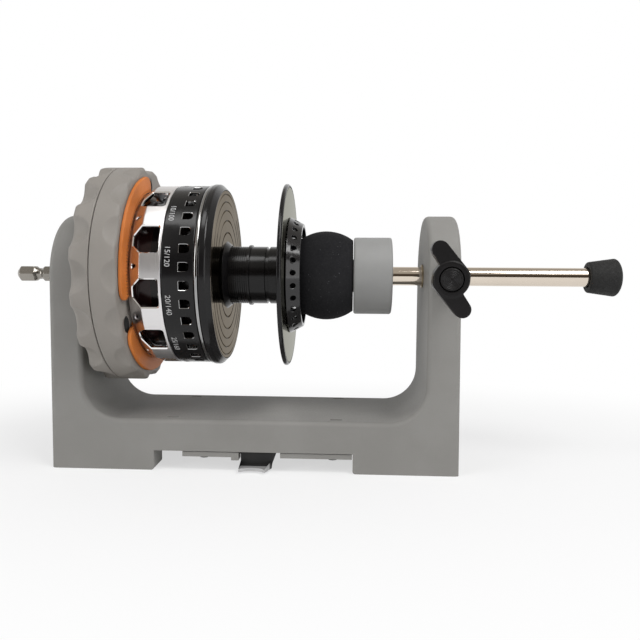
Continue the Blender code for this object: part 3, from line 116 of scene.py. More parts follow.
def shader_of(finish):
    """The shader whose sockets hold a finish's colour, roughness and relief."""
    return finish.node_tree.nodes["Principled BSDF"]


def layer(finish, socket, share, value):
    """Lays a value over what reaches one of the shader's sockets, by a share from 0 to 1."""
    target = shader_of(finish).inputs[socket]
    below = target.links[0].from_socket if target.links else target.default_value
    coloured = socket == "Base Color"
    inputs = {0: share, 6 if coloured else 2: below, 7 if coloured else 3: value}
    mixed = add(finish, "Mix", inputs, data_type="RGBA" if coloured else "FLOAT")
    finish.node_tree.links.new(mixed.outputs[2 if coloured else 0], target)


def relief(finish, height, depth):
    """Raises the surface by a height from 0 to 1, at most `depth` mm, on top of any relief it has."""
    normal = shader_of(finish).inputs["Normal"]
    inputs = {"Height": height, "Distance": depth / 1000}
    if normal.links:
        inputs["Normal"] = normal.links[0].from_socket
    finish.node_tree.links.new(add(finish, "Bump", inputs).outputs[0], normal)


def moulded(name, tone, shade, roughness, grain, height, metallic=0.0, drift=22.0, gloss=0.5):
    """A finish whose colour and roughness drift between two tones over `drift` mm, with a fine grain `grain`
    mm across and `height` mm high: noise in Object coordinates."""
    finish = bpy.data.materials.new(name)
    finish.use_nodes = True
    shader = shader_of(finish)
    shader.inputs["Base Color"].default_value = (*tone, 1)
    shader.inputs["Metallic"].default_value = metallic
    shader.inputs["Roughness"].default_value = roughness
    shader.inputs["Specular IOR Level"].default_value = gloss
    place = add(finish, "TexCoord").outputs["Object"]
    slow = add(finish, "TexNoise", {"Vector": place, "Scale": 1000 / drift, "Detail": 4.0}).outputs[0]
    fine = add(finish, "TexNoise", {"Vector": place, "Scale": 1000 / grain, "Detail": 3.0}).outputs[0]
    layer(finish, "Base Color", spread(finish, slow, 0.32, 0.68), (*shade, 1))
    layer(finish, "Roughness", spread(finish, fine, 0.3, 0.7), min(1.0, roughness * 1.25))
    relief(finish, fine, height)
    return finish


def lattice(rows, columns, rows_close=False, columns_close=True):
    """Four-sided faces over a grid of points numbered row by row."""
    row, column = np.meshgrid(np.arange(rows - (not rows_close)), np.arange(columns - (not columns_close)),
                              indexing="ij")
    row, column = row.ravel(), column.ravel()
    below, beyond = (row + 1) % rows, (column + 1) % columns
    return np.column_stack([row * columns + column, row * columns + beyond, below * columns + beyond,
                            below * columns + column])


def piece(name, patches, finishes, body=None, slot=None, *stands_for, sharp=38.0):
    """One mesh in metres from patches of (points in mm, faces, finish number): doubles merged, faces turned
    outwards, and smooth but for edges that turn by more than `sharp` degrees."""
    first = np.cumsum([0] + [len(points) for points, faces, number in patches])
    points = np.concatenate([points for points, faces, number in patches]) + (stand_middle, 0, 0)
    faces = []
    for (spots, sides, number), start in zip(patches, first):
        faces += (sides + start).tolist()
    numbers = np.concatenate([np.zeros(len(sides), np.int32) + number for spots, sides, number in patches])
    mesh = bpy.data.meshes.new(name)
    mesh.from_pydata((points / 1000).tolist(), [], faces)
    mesh.polygons.foreach_set("material_index", numbers)
    shape = bmesh.new()
    shape.from_mesh(mesh)
    bmesh.ops.remove_doubles(shape, verts=shape.verts, dist=2e-6)
    bmesh.ops.dissolve_degenerate(shape, edges=shape.edges, dist=1e-7)
    bmesh.ops.recalc_face_normals(shape, faces=shape.faces)
    shape.to_mesh(mesh)
    shape.free()
    mesh.shade_smooth()
    mesh.set_sharp_from_angle(angle=math.radians(sharp))
    for finish in finishes:
        mesh.materials.append(finish)
    made = bpy.data.objects.new(name, mesh)
    bpy.context.scene.collection.objects.link(made)
    if body:
        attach(made, body)
        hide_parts(*stands_for)
    return made


def prism(outline, low, high, axis="xyz"):
    """An outline in the first two of the named axes, carried along the third from low to high and closed."""
    outline = np.asarray(outline, float)
    count = len(outline)
    flat = np.concatenate([np.column_stack([outline, np.full(count, end)]) for end in (low, high)])
    points = flat[:, [axis.index(letter) for letter in "xyz"]]
    middle = points.reshape(2, count, 3).mean(axis=1)
    around = np.arange(count)
    after = (around + 1) % count
    sides = np.column_stack([around, after, count + after, count + around])
    caps = np.concatenate([np.column_stack([around, after, np.full(count, 2 * count)]),
                           np.column_stack([count + around, count + after, np.full(count, 2 * count + 1)])])
    return [(points, sides, 0), (np.concatenate([points, middle]), caps, 0)]


def arc(middle, radius, start, end, steps):
    """Points on a circle, from one angle in degrees to another, counted from the first axis to the second."""
    angle = np.radians(np.linspace(start, end, steps + 1))
    return np.column_stack([middle[0] + radius * np.cos(angle), middle[1] + radius * np.sin(angle)])


def shaped(made, *steps):
    """Adds modifiers (kind, settings), keeps their result as the piece's mesh, and removes their cutters."""
    for kind, settings in steps:
        step = made.modifiers.new(kind.lower(), kind)
        for name, value in settings.items():
            setattr(step, name, value)
    bpy.context.view_layer.update()
    result = bpy.data.meshes.new_from_object(made.evaluated_get(bpy.context.evaluated_depsgraph_get()))
    made.modifiers.clear()
    made.data = result
    for kind, settings in steps:
        if "object" in settings:
            bpy.data.objects.remove(settings["object"])


def spots_of(mesh):
    """A mesh's points as rows of (x, y, z)."""
    spots = np.empty(len(mesh.vertices) * 3)
    mesh.vertices.foreach_get("co", spots)
    return spots.reshape(-1, 3)


def cut(cutter, operation="DIFFERENCE"):
    """The step that takes a cutter's shape out of a piece, or joins it on."""
    return "BOOLEAN", {"object": cutter, "operation": operation, "solver": "EXACT"}


def eased(width, angle, segments):
    """The step that rounds every edge that turns by more than an angle."""
    return "BEVEL", {"width": width / 1000, "segments": segments, "limit_method": "ANGLE",
                     "angle_limit": math.radians(angle), "use_clamp_overlap": True,
                     "miter_outer": "MITER_ARC"}


def round_bore(middle, radius, steps=48):
    """The circle of a bore whose middle is at the spindle's height."""
    return arc((middle, axis_height), radius, 0, 360, steps)[:-1]


def box(low, high):
    """A plain block as a cutter's patches."""
    outline = [(low[0], low[1]), (high[0], low[1]), (high[0], high[1]), (low[0], high[1])]
    return prism(outline, low[2], high[2])


grey_moulding = moulded("grey moulding", (0.252, 0.246, 0.232), (0.232, 0.226, 0.212), 0.55, 0.55, 0.035)
head = arc((0, axis_height), stand_half_width, 0, 180, 56)
arch = np.concatenate([[(-stand_half_width, -6), (stand_half_width, -6)], head])
stand = piece("stand_moulding", prism(arch, -stand_half_length, stand_half_length, "yzx"), [grey_moulding],
              "stand", "grey_moulding", "frame")
# Each cutter reaches a little beyond what it cuts.
inner, fillet_top = post_inside - post_fillet, base_top + post_fillet
bay_outline = np.concatenate([[(-post_inside, 120)], arc((-inner, fillet_top), post_fillet, 180, 270, 14),
                              arc((inner, fillet_top), post_fillet, 270, 360, 14), [(post_inside, 120)]])
bay = piece("bay_cutter", prism(bay_outline, -30, 30, "xzy"), [grey_moulding])
foot_corner = foot_inside - foot_fillet
feet_outline = np.concatenate([[(foot_corner, base_underside), (-foot_corner, base_underside)],
                               arc((-foot_inside, foot_fillet), foot_fillet, 360, 270, 8),
                               [(-foot_inside, -9), (foot_inside, -9)],
                               arc((foot_inside, foot_fillet), foot_fillet, 270, 180, 8)])
hollows = {"bench": box((-90, -30, -9), (90, 30, 0)),
           "feet": prism(feet_outline, -30, 30, "xzy"),
           "channel": box((-channel_half_length, -channel_half_width, -1),
                          (channel_half_length, channel_half_width, base_underside)),
           "bearing": prism(round_bore(0, bearing_bore), -90, -60, "yzx"),
           "bush": prism(round_bore(0, bush_bore), 60, 90, "yzx"),
           "insert": prism(round_bore(clamp_x, insert_bore, 40), -30, -7, "xzy"),
           "marks": []}
for along, across in mark_middles:
    oblong = np.concatenate([arc((along + mark_reach, across), mark_radius, -90, 90, 8),
                             arc((along - mark_reach, across), mark_radius, 90, 270, 8)])
    hollows["marks"] += prism(oblong, base_top - mark_depth, base_top + 2)
cutters = [piece(name + "_cutter", patches, [grey_moulding]) for name, patches in hollows.items()]
shaped(stand, cut(bay), eased(2.0, 50, 5))
shaped(stand, *[cut(cutter) for cutter in cutters], eased(0.3, 50, 2))
# The ends lean outwards by the mould's draft: from nothing at draft_top down to the whole of it draft_run
# lower. These sizes alone are in metres.
spots = spots_of(stand.data)
from_middle = spots[:, 0] - stand_middle / 1000
below = np.clip((draft_top - spots[:, 2]) / draft_run, 0, 1)
at_end = np.clip((np.abs(from_middle) - end_from) / end_run, 0, 1)
spots[:, 0] += draft * below * at_end * np.sign(from_middle)
stand.data.vertices.foreach_set("co", spots.ravel())
stand.modifiers.new("even shading", "WEIGHTED_NORMAL").keep_sharp = True


# Under the base lies a moulded cover plate with a notch, held by small blackened screws. In the notch hangs a
# bent steel saddle with a hollowed front edge, for a fishing rod to rest on: its tray is paler than its wall.
blackened = moulded("blackened steel", (0.09, 0.09, 0.09), (0.06, 0.06, 0.06), 0.38, 0.4, 0.01, 0.9)
dark_sheet = moulded("dark sheet", (0.03, 0.03, 0.03), (0.02, 0.02, 0.021), 0.42, 0.3, 0.008, 0.5)
place = add(dark_sheet, "SeparateXYZ", {0: add(dark_sheet, "TexCoord").outputs["Object"]}).outputs
layer(dark_sheet, "Base Color", spread(dark_sheet, place[1], -0.0236, -0.0252), (0.5, 0.5, 0.5, 1))
saddle_back, saddle_wall, saddle_front = -10.8, -22.8, -29.5
saddle_left, saddle_right = -5.2, 9.7
saddle_top, saddle_low, sheet = 7.9, 0.9, 1.3


def rounded(corners, steps=4):
    """A profile whose corners (along, out, cut) become curves (1-t)^2 start + 2t(1-t) corner + t^2 end, from
    `cut` mm before the corner to `cut` mm after it, with a point held a little beyond each end."""
    corners = np.array([(tuple(corner) + (0.0,))[:3] for corner in corners], float)
    spot, size = corners[:, :2], corners[:, 2:]
    before, after = np.roll(spot, 1, axis=0) - spot, np.roll(spot, -1, axis=0) - spot
    before = before / np.maximum(np.linalg.norm(before, axis=1, keepdims=True), 1e-9)
    after = after / np.maximum(np.linalg.norm(after, axis=1, keepdims=True), 1e-9)
    start, end = spot + before * size, spot + after * size
    share = np.linspace(0, 1, steps + 1)[None, :, None]
    curve = ((1 - share) ** 2 * start[:, None] + 2 * share * (1 - share) * spot[:, None]
             + share ** 2 * end[:, None])
    held = np.minimum(0.25 * size, 0.12)
    rows = np.concatenate([(start + before * held)[:, None], curve, (end + after * held)[:, None]], axis=1)
    rows = rows.reshape(-1, 2)
    kept = np.concatenate([[True], np.linalg.norm(np.diff(rows, axis=0), axis=1) > 1e-6])
    return rows[kept]


def skinned(rows):
    """A closed skin through rows of points of one count, with a fan over the first row and the last."""
    rows = np.asarray(rows, float)
    count, around = rows.shape[:2]
    points = np.concatenate([rows.reshape(-1, 3), [rows[0].mean(axis=0), rows[-1].mean(axis=0)]])
    one = np.arange(around)
    after = (one + 1) % around
    last = (count - 1) * around
    fans = np.concatenate([np.column_stack([one, after, np.full(around, count * around)]),
                           np.column_stack([last + one, last + after, np.full(around, count * around + 1)])])
    return [(points, lattice(count, around), 0), (points, fans, 0)]


def refinished(finish, *names):
    """Gives a finish to CAD nodes that keep their own shape."""
    for name in names:
        nodes[name].data.materials[0] = finish


section = rounded([(saddle_back, saddle_top, 0.1), (saddle_wall, saddle_top, 0.8),
                   (saddle_wall, saddle_low + sheet, 0.6), (saddle_front, saddle_low + sheet, 0.3),
                   (saddle_front, saddle_low, 0.3), (saddle_wall + sheet, saddle_low, 1.4),
                   (saddle_wall + sheet, saddle_top - sheet, 0.3), (saddle_back, saddle_top - sheet, 0.1)])
forward = np.clip((saddle_wall - section[:, 0]) / (saddle_wall - saddle_front), 0, 1)
dropped = np.clip((saddle_top - section[:, 1]) / (saddle_top - saddle_low - sheet), 0, 1)
# Its right edge comes in by 2.1 mm down the wall and by 2.3 mm along the tray, and a circle of 7.5 mm radius
# takes 2.6 mm out of the front edge.
right_edge = saddle_right - 2.1 * dropped - 2.3 * forward
across = np.linspace(0, 1, 33)[:, None]
saddle_x = saddle_left + (right_edge - saddle_left)[None, :] * across
bite = np.sqrt(np.maximum(7.5 ** 2 - (saddle_x - 0.05) ** 2, 0)) - 4.9
saddle_y = section[None, :, 0] + np.maximum(bite, 0) * forward[None, :] ** 3
saddle_rows = np.stack([saddle_x, saddle_y, saddle_x * 0 + section[None, :, 1]], axis=2)
piece("rest_saddle", skinned(saddle_rows), [dark_sheet], "stand", "dark_sheet", "rod_saddle")
refinished(blackened, "cover_screw_1", "cover_screw_2", "cover_screw_3", "cover_screw_4", "saddle_screw_1",
           "saddle_screw_2")
refinished(grey_moulding, "bottom_cover")


# The drive spindle is turned from hexagon bar and nickel plated: a quarter-inch bit shank with a detent neck,
# then a round shaft on two sealed ball bearings in the left post. A nut and a washer hold the chuck on it.
shank_tip = -107.75
hexagon = 6.35
flats_end = -83.1
round_angles = np.linspace(0, 2 * np.pi, 96, endpoint=False)


def steel(name, tone, shade, roughness, lines, height, metallic=1.0, anisotropy=0.0, gloss=0.5):
    """A turned metal: the drifting finish, with fine tool lines `lines` mm apart round the spindle, which are
    noise in (place along, radius, 0.15 angle), all but even round the piece. Light spreads across the lines
    by the anisotropy."""
    finish = moulded(name, tone, shade, roughness, grain=0.5, height=0.002, metallic=metallic, gloss=gloss)
    along, radius, angle = measured(finish)
    little_turn = sums(finish, "MULTIPLY", angle, 0.15)
    rings = add(finish, "CombineXYZ", {0: along, 1: radius, 2: little_turn}).outputs[0]
    ring = add(finish, "TexNoise", {"Vector": rings, "Scale": 1 / lines, "Detail": 3.0}).outputs[0]
    relief(finish, ring, height)
    shader = shader_of(finish)
    shader.inputs["Anisotropic"].default_value = anisotropy
    if anisotropy:
        way = add(finish, "Tangent", direction_type="RADIAL", axis="X").outputs[0]
        finish.node_tree.links.new(way, shader.inputs["Tangent"])
    return finish


def measured(finish):
    """Object coordinates as mm along the spindle from the stand's middle, the radius from it in mm, and the
    angle round it from the front towards the top."""
    place = add(finish, "TexCoord").outputs["Object"]
    moved = {"Vector": place, "Location": (-stand_middle, 0, -axis_height), "Scale": (1000, 1000, 1000)}
    parts = add(finish, "SeparateXYZ", {0: add(finish, "Mapping", moved).outputs[0]}).outputs
    across = add(finish, "CombineXYZ", {1: parts[1], 2: parts[2]}).outputs[0]
    radius = add(finish, "VectorMath", {0: across}, operation="LENGTH").outputs["Value"]
    angle = sums(finish, "ARCTAN2", parts[2], sums(finish, "MULTIPLY", parts[1], -1.0))
    return parts[0], radius, angle


def placed(along, radius, angle):
    """Points at (along, -radius cos angle, axis height + radius sin angle)."""
    along, radius, angle = np.broadcast_arrays(along, radius, angle)
    return np.stack([along, -radius * np.cos(angle), axis_height + radius * np.sin(angle)], axis=-1)


def turned(along, radius, angles=round_angles, closed=False):
    """A row of points at the angles for each place along the spindle, and their faces. The radius may change
    with the angle too."""
    along, radius = [np.reshape(values, (len(along), -1)) for values in (along, radius)]
    return placed(along, radius, angles).reshape(-1, 3), lattice(len(along), len(angles), closed)


def lathed(profile, closed=True):
    """A profile (along, radius) turned round the spindle as one patch. It is a closed loop, or an open line
    that begins and ends on the spindle's line."""
    return [(*turned(*profile.T, closed=closed), 0)]


nickel = steel("nickel plate", (0.33, 0.31, 0.28), (0.28, 0.265, 0.24), 0.22, 0.3, 0.004)
bearing_steel = steel("bearing steel", (0.60, 0.60, 0.60), (0.52, 0.52, 0.52), 0.28, 0.25, 0.004)
corner = hexagon / math.sqrt(3)
shank = rounded([(shank_tip, 0), (shank_tip, 1.7, 0.4), (-105.95, corner, 0.3), (-100.25, corner, 0.3),
                 (-98.65, 2.4, 0.5), (-96.85, 2.4, 0.5), (-95.25, corner, 0.3), (-83.15, corner, 0.15),
                 (-83.15, 4.0), (-69.0, 4.0), (-69.0, 7.0), (-68.2, 7.0), (-68.2, 4.0), (-48.7, 4.0, 0.3),
                 (-48.7, 0)])
# A hexagon's radius is half its width over the cosine of the angle from the middle of a side.
flats = hexagon / 2 / np.cos(np.mod(round_angles, np.pi / 3) - np.pi / 6)
hexed = np.where(shank[:, :1] < flats_end, np.minimum(shank[:, 1:], flats), shank[:, 1:] + 0 * flats)
piece("bit_shank_spindle", [(*turned(shank[:, 0], hexed), 0)], [nickel], "chuck", "plated_steel",
      "drive_spindle", sharp=24)
refinished(nickel, "spindle_nut", "scroll_retainer")
refinished(bearing_steel, "spindle_bearing_1", "spindle_bearing_2")


# The grip ring is turned by hand to open and close the jaws. It is a grey moulding with sixteen thumb scoops
# round its back rim, hollow in front, where a square spiral ridge drives the teeth of the jaw slides.
chuck_radius = 45.73
scoops = 16
scoop_angles = np.linspace(0, 2 * np.pi, scoops * 26, endpoint=False)


def closely_ruled(profile, start, length):
    """A rim's profile with twenty more rows over `length` mm from `start`, for the scoops to show in."""
    rows = np.column_stack([start + length * np.linspace(0, 1, 22)[1:-1], np.full(20, chuck_radius)])
    return np.concatenate([profile[profile[:, 0] < start], rows, profile[profile[:, 0] > start + length]])


def scooped_disc(rim, inner, place, depth, length, half_width):
    """A closed profile turned round the spindle as one patch. At each scoop the rim's radius is less by a
    dish, depth (1 - q)^0.8, where q = (across / half width)^2 + ((along - place) / length)^2. Its inner rows
    are plain."""
    pitch = 2 * np.pi / scoops
    across = (np.mod(scoop_angles + pitch / 2, pitch) - pitch / 2) * chuck_radius
    spread_out = (across / half_width) ** 2 + ((rim[:, :1] - place) / length) ** 2
    dished = rim[:, 1:] - depth * np.maximum(1 - spread_out, 0) ** 0.8
    radius = np.concatenate([dished, inner[:, 1:] + 0 * scoop_angles])
    return [(*turned(np.concatenate([rim[:, 0], inner[:, 0]]), radius, scoop_angles, True), 0)]


chuck_moulding = moulded("chuck moulding", (0.265, 0.245, 0.222), (0.237, 0.22, 0.198), 0.5, 0.5, 0.03)
rim = rounded([(-66.6, 40.0), (-66.6, chuck_radius, 2.6), (-58.48, chuck_radius, 0.5), (-58.48, 40.9)], 8)
hollow = np.array([(-58.48, 40.73), (-61.6, 40.73), (-61.6, 10.4), (-66.6, 10.4)])
ring_patches = scooped_disc(closely_ruled(rim, -63.7, 4.5), hollow, place=-67.2, depth=3.0, length=8.4,
                            half_width=6.6)
ridge_start, ridge_pitch, ridge_turns = 15.0, 4.8, 4
sweep = np.linspace(0, ridge_turns * 2 * np.pi, 300)
ridge_middle = ridge_start + ridge_pitch * sweep / (2 * np.pi)
ridge_rows = np.stack([placed(x, ridge_middle + side, sweep)
                       for x, side in ((-61.62, -0.9), (-61.62, 0.9), (-59.4, 0.9), (-59.4, -0.9))], axis=1)
piece("grip_ring_moulding", ring_patches + skinned(ridge_rows), [chuck_moulding], "grip_ring",
      "grey_moulding", "scroll_ring")


# The chuck's body is the front half of the same disc, a seam apart from the ring. It has softer scoops on its
# front rim, three T-shaped slots for the jaw slides, and between these three oval pockets, whose cut faces
# are painted near black as shade.
front = rounded([(-58.18, 41.0), (-58.18, chuck_radius, 0.5), (-48.4, chuck_radius, 1.6), (-48.4, 40.0)], 8)
core = np.array([(-48.4, 9.0), (-52.4, 9.0), (-52.4, 4.3), (-66.6, 4.3), (-66.6, 10.0), (-58.18, 10.0)])
# Painted shade: the near-black finish of the pockets' cut faces.
pocket_painted_shade = moulded("pocket shadow", (0.02, 0.02, 0.02), (0.03, 0.03, 0.03), 0.6, 0.5, 0.02)
chuck = piece("chuck_moulding", scooped_disc(closely_ruled(front, -57.5, 7.2), core, place=-47.9, depth=1.7,
                                             length=5.6, half_width=6.2),
              [chuck_moulding, pocket_painted_shade], "chuck", "grey_moulding", "chuck_body")


def carried(outward, across, angle):
    """The Y and Z of a point `outward` from the spindle at an angle, and then `across` from there."""
    return (-outward * math.cos(angle) + across * math.sin(angle),
            axis_height + outward * math.sin(angle) + across * math.cos(angle))


def radial_blocks(outline, inner, outer, angles):
    """Closed prisms that point outwards from the spindle, one at each angle, from an outline (along,
    across)."""
    patches = []
    for angle in angles:
        for points, faces, number in prism(outline, inner, outer, "xyz"):
            along, across, radius = points.T
            patches.append((np.column_stack([along, *carried(radius, across, angle)]), faces, number))
    return patches


jaw_angles = np.radians([36, 156, 276])
half_tee = np.array([(-60, 8.4), (-55.6, 8.4), (-55.6, 6.4), (-40, 6.4)])
tee = np.concatenate([half_tee * (1, -1), half_tee[::-1]])
slots = piece("slot_cutter", radial_blocks(tee, 15.6, 38.0, jaw_angles), [chuck_moulding])
pocket_middle, pocket_height, pocket_width, pocket_floor = 37.9, 2.9, 3.6, -51.4
around = np.linspace(0, 2 * np.pi, 40, endpoint=False)
outward, across = pocket_middle + pocket_height * np.cos(around), pocket_width * np.sin(around)
pockets = []
for angle in jaw_angles + np.radians(54.0):
    outline = np.column_stack(carried(outward, across, angle))
    pockets += [(points, faces, 1) for points, faces, number in prism(outline, pocket_floor, -40, "yzx")]
pockets = piece("pocket_cutter", pockets, [chuck_moulding, pocket_painted_shade])
shaped(chuck, cut(slots), cut(pockets))
chuck.modifiers.new("even shading", "WEIGHTED_NORMAL").keep_sharp = True
refinished(nickel, "jaw_slide_1", "jaw_slide_2", "jaw_slide_3")


# Three grip pads of orange elastomer are screwed to the jaw slides. Each is an arc with a shallow channel,
# and past the channel's outer wall, where the spool's skirt is held, its face is finely serrated.
pad_back = -48.1
half_arc = math.radians(50)
pad_inner, pad_middle, pad_outer, pad_corner = 17.0, 30.0, 42.0, 4.5
channel_wall, serrated_middle = 35.05, 35.8
pad_height, channel_height, pad_edge = 1.2, 0.5, 0.5
serrations, tooth_depth = 88.0, 0.25


def pad_limits(angle):
    """The pad's inner and outer radius at an angle from its middle, where each corner is a circle: centre
    radius times cos of the angle past the corner, less or plus the root of corner^2 - (radius sin)^2."""
    limits = []
    for sign, centre in ((-1, pad_inner + pad_corner), (1, pad_outer - pad_corner)):
        start = half_arc - math.asin(pad_corner / centre)
        past = np.maximum(np.abs(angle) - start, 0)
        reach = np.sqrt(np.maximum(pad_corner ** 2 - (centre * np.sin(past)) ** 2, 0))
        limits.append(centre * np.cos(past) + sign * reach)
    return limits


# Its colour has painted shade: a dark line along the channel's outer wall, and a dark tick in each of
# the serrations.
orange = moulded("orange grip pad", (0.64, 0.19, 0.03), (0.52, 0.145, 0.022), 0.5, 0.7, 0.05)
radius, angle = measured(orange)[1:]
from_wall = sums(orange, "ABSOLUTE", sums(orange, "SUBTRACT", radius, channel_wall))
wall_painted_shade = spread(orange, from_wall, 0.42, 0.22)
from_ticks = sums(orange, "ABSOLUTE", sums(orange, "SUBTRACT", radius, serrated_middle))
tick_zone = spread(orange, from_ticks, 0.95, 0.6)
ticks = sums(orange, "ABSOLUTE", sums(orange, "SINE", sums(orange, "MULTIPLY", angle, serrations)))
tick_painted_shade = sums(orange, "MULTIPLY", spread(orange, ticks, 0.72, 0.97), tick_zone)
# Painted shade in the serrations and along the channel's outer wall.
layer(orange, "Base Color", sums(orange, "MULTIPLY", tick_painted_shade, 0.75), (0.09, 0.022, 0.008, 1))
layer(orange, "Base Color", wall_painted_shade, (0.05, 0.014, 0.008, 1))
columns = 361
sideways = half_arc * np.sin(np.linspace(-np.pi / 2, np.pi / 2, columns))
lines = np.array([17, 17.15, 17.4, 17.8, 20, 25, 29.2, 29.4, 29.6, 32, 34.5, 34.92, 35.22, 35.4, 36.4, 36.7,
                  38, 41.2, 41.6, 41.85, 42])
count = len(lines)
from_inside = np.array([0, 0.15, 0.4, 0.8, 1.6] + [1.7] * (count - 5))
low_limit, high_limit = pad_limits(sideways)
pad_radius = np.clip(lines[:, None] + 0 * sideways, low_limit + from_inside[:, None],
                     high_limit - from_inside[::-1, None])
stepped = np.interp(pad_radius, [29.4, 29.6, 34.92, 35.22],
                    [pad_height, channel_height, channel_height, pad_height])
# The outer edge and the ends are rounded off by a quarter circle.
to_end = (half_arc - np.abs(sideways)) * pad_middle
to_edge = np.minimum(np.minimum(high_limit - pad_radius, to_end), pad_edge)
quarter = np.sqrt(np.maximum(pad_edge ** 2 - (pad_edge - to_edge) ** 2, 0))
surface = np.minimum(stepped, pad_height - pad_edge + quarter)
for index, middle in enumerate(jaw_angles):
    turned_to = middle + sideways
    teeth = np.abs(np.sin(serrations * turned_to)) ** 6
    serrated = np.interp(pad_radius, [35.2, 35.4, 36.4, 36.7], [0, 1, 1, 0]) * teeth
    shells = [placed(pad_back + height, pad_radius, turned_to)
              for height in (surface - tooth_depth * serrated, 0 * surface)]
    loop = np.concatenate([shells[0], shells[1][::-1]])
    patches = [(loop.reshape(-1, 3), lattice(2 * count, columns, True, False), 0)]
    for column in (0, columns - 1):
        end = np.stack([shells[0][:, column], shells[1][:, column]], axis=1)
        patches.append((end.reshape(-1, 3), lattice(count, 2, False, False), 0))
    number = str(index + 1)
    piece("grip_pad_" + number, patches, [orange], "jaw_" + number, "orange_pad", "jaw_pad_" + number)
    refinished(blackened, "jaw_screw_" + number)


# The skirt of the reel spool is a thin polished aluminium shell with a chamfered end, cut away in eleven
# windows whose edges are diamond-cut bright. Behind them the spool's drum is black and glossy, and its left
# end is painted a little redder, a painted reflection of the orange grip pads.
skirt_radius = 38.0


def spaced(first, count):
    """Angles round the spindle, `count` to the turn, from a first one in degrees."""
    return np.radians(first) + 2 * np.pi * np.arange(count) / count


def pierced(half, ties, centres, outside, inside, left_end, right_end, lip, rows=5):
    """A wall round the spindle with the same opening at each centre. `half` is one side of the opening's
    outline, (along, across) mm from its left end to its right, and each tie joins a point of it to a point
    (along, share of half a pitch) on the border of its cell. Rows of points run in from the border, down a
    bevelled lip, through the wall and out again inside. The ends are profiles, turned at the angles that the
    wall's own points have there. The lip has the second finish, and the inside the third."""
    half, ties = np.asarray(half, float), np.asarray(ties, float)
    run = np.concatenate([[0], np.cumsum(np.linalg.norm(np.diff(half, axis=0), axis=1))])
    stops = [run[np.argmin(np.linalg.norm(half - tie[:2], axis=1))] for tie in ties]
    border = np.column_stack([np.interp(run, stops, ties[:, 2]), np.interp(run, stops, ties[:, 3])])
    pitch = math.pi / len(centres)
    mirrored = np.array([1, -1])
    outline = np.concatenate([half, half[-2:0:-1] * mirrored])
    border = np.concatenate([border, border[-2:0:-1] * mirrored])
    ahead_by = np.roll(outline, -1, axis=0) - np.roll(outline, 1, axis=0)
    outward = np.column_stack([-ahead_by[:, 1], ahead_by[:, 0]])
    outward /= np.linalg.norm(outward, axis=1, keepdims=True)
    size = np.interp(half[:, 0].mean(), *np.transpose(outside))
    in_shares = np.array([1, 1 / size / pitch])
    wide = (outline + outward * lip) * in_shares
    plain = outline * in_shares
    share = np.linspace(1, 0, rows)[:, None, None]
    plane = np.concatenate([border * share + wide * (1 - share), plain[None], plain[None],
                            plain * share[1:] + border * (1 - share[1:])])
    depth = np.array([0.0] * rows + [lip, 0.0] + [0.0] * (rows - 1))
    outer = np.arange(len(depth)) <= rows
    along = plane[:, :, 0]
    radius = np.where(outer[:, None], np.interp(along, *np.transpose(outside)),
                      np.interp(along, *np.transpose(inside))) - depth[:, None]
    around = np.asarray(centres)[:, None, None] + plane[None, :, :, 1] * pitch
    per_cell = plane.shape[0] * plane.shape[1]
    faces = lattice(plane.shape[0], plane.shape[1])
    all_faces = (faces[None] + per_cell * np.arange(len(centres))[:, None, None]).reshape(-1, 4)
    row_finish = np.array([0] * (rows - 1) + [1, 1] + [2] * (rows - 1))
    numbers = np.tile(np.repeat(row_finish, plane.shape[1]), len(centres))
    patches = [(placed(along, radius, around).reshape(-1, 3), all_faces, numbers)]
    for profile, end in ((left_end, border[:, 0].min()), (right_end, border[:, 0].max())):
        spots = np.unique(border[np.abs(border[:, 0] - end) < 1e-9, 1].round(9))
        spots = spots[spots > -1 + 1e-6]
        angles = np.sort((np.asarray(centres)[:, None] + spots * pitch).ravel())
        patches.append((*turned(*profile.T, angles), 0))
    return patches


silver = steel("polished aluminium", (0.80, 0.785, 0.785), (0.76, 0.75, 0.755), 0.32, 0.35, 0.003,
               anisotropy=0.6)
bright_cut = steel("bright cut", (0.90, 0.89, 0.88), (0.84, 0.83, 0.83), 0.08, 0.4, 0.002)
shell_inside = steel("skirt inside", (0.30, 0.30, 0.31), (0.24, 0.24, 0.25), 0.3, 0.4, 0.004)
glossy_black = steel("black anodised", (0.005, 0.005, 0.0055), (0.008, 0.0075, 0.008), 0.17, 0.4, 0.002,
                     metallic=0.0, gloss=0.3)
outside = rounded([(-47.3, 34.4), (-41.6, skirt_radius, 0.35), (-33.35, skirt_radius)])
inside = np.array([(-47.3, 33.75), (-46.0, 33.75), (-40.95, 36.7), (-33.35, 36.7)])
window = rounded([(-45.0, 0), (-45.0, 2.2, 0.5), (-41.9, 5.25), (-41.6, 5.55, 0.12), (-41.3, 5.55),
                  (-41.0, 5.55), (-34.7, 5.55, 1.0), (-34.7, 0)])
window_ties = [(-45.0, 0, -46.4, 0), (-44.8, 2.4, -46.4, 1), (-41.9, 5.25, -41.9, 1), (-41.6, 5.55, -41.6, 1),
               (-41.3, 5.55, -41.3, 1), (-34.9, 5.35, -33.9, 1), (-34.7, 0, -33.9, 0)]
windows = 11
window_centres = spaced(-9.9, windows)
left_end = rounded([(-46.4, np.interp(-46.4, *outside.T)), (-47.3, 34.4, 0.15), (-47.3, 33.75, 0.1),
                    (-46.4, 33.75)], 3)
right_end = rounded([(-33.9, skirt_radius), (-33.35, skirt_radius, 0.2), (-33.35, 36.7, 0.2), (-33.9, 36.7)],
                    3)
skirt = piece("windowed_skirt", pierced(window, window_ties, window_centres, outside, inside, left_end,
                                        right_end, lip=0.45),
              [silver, bright_cut, shell_inside], "chuck", "polished_aluminium", "spool_skirt")
pin_outline = arc((-44.2, 0), 0.9, 0, 360, 20)[:-1]
pin_centres = window_centres + np.pi / windows
pin_holes = piece("pin_cutter", radial_blocks(pin_outline, 32, 40, pin_centres), [silver])
shaped(skirt, cut(pin_holes))
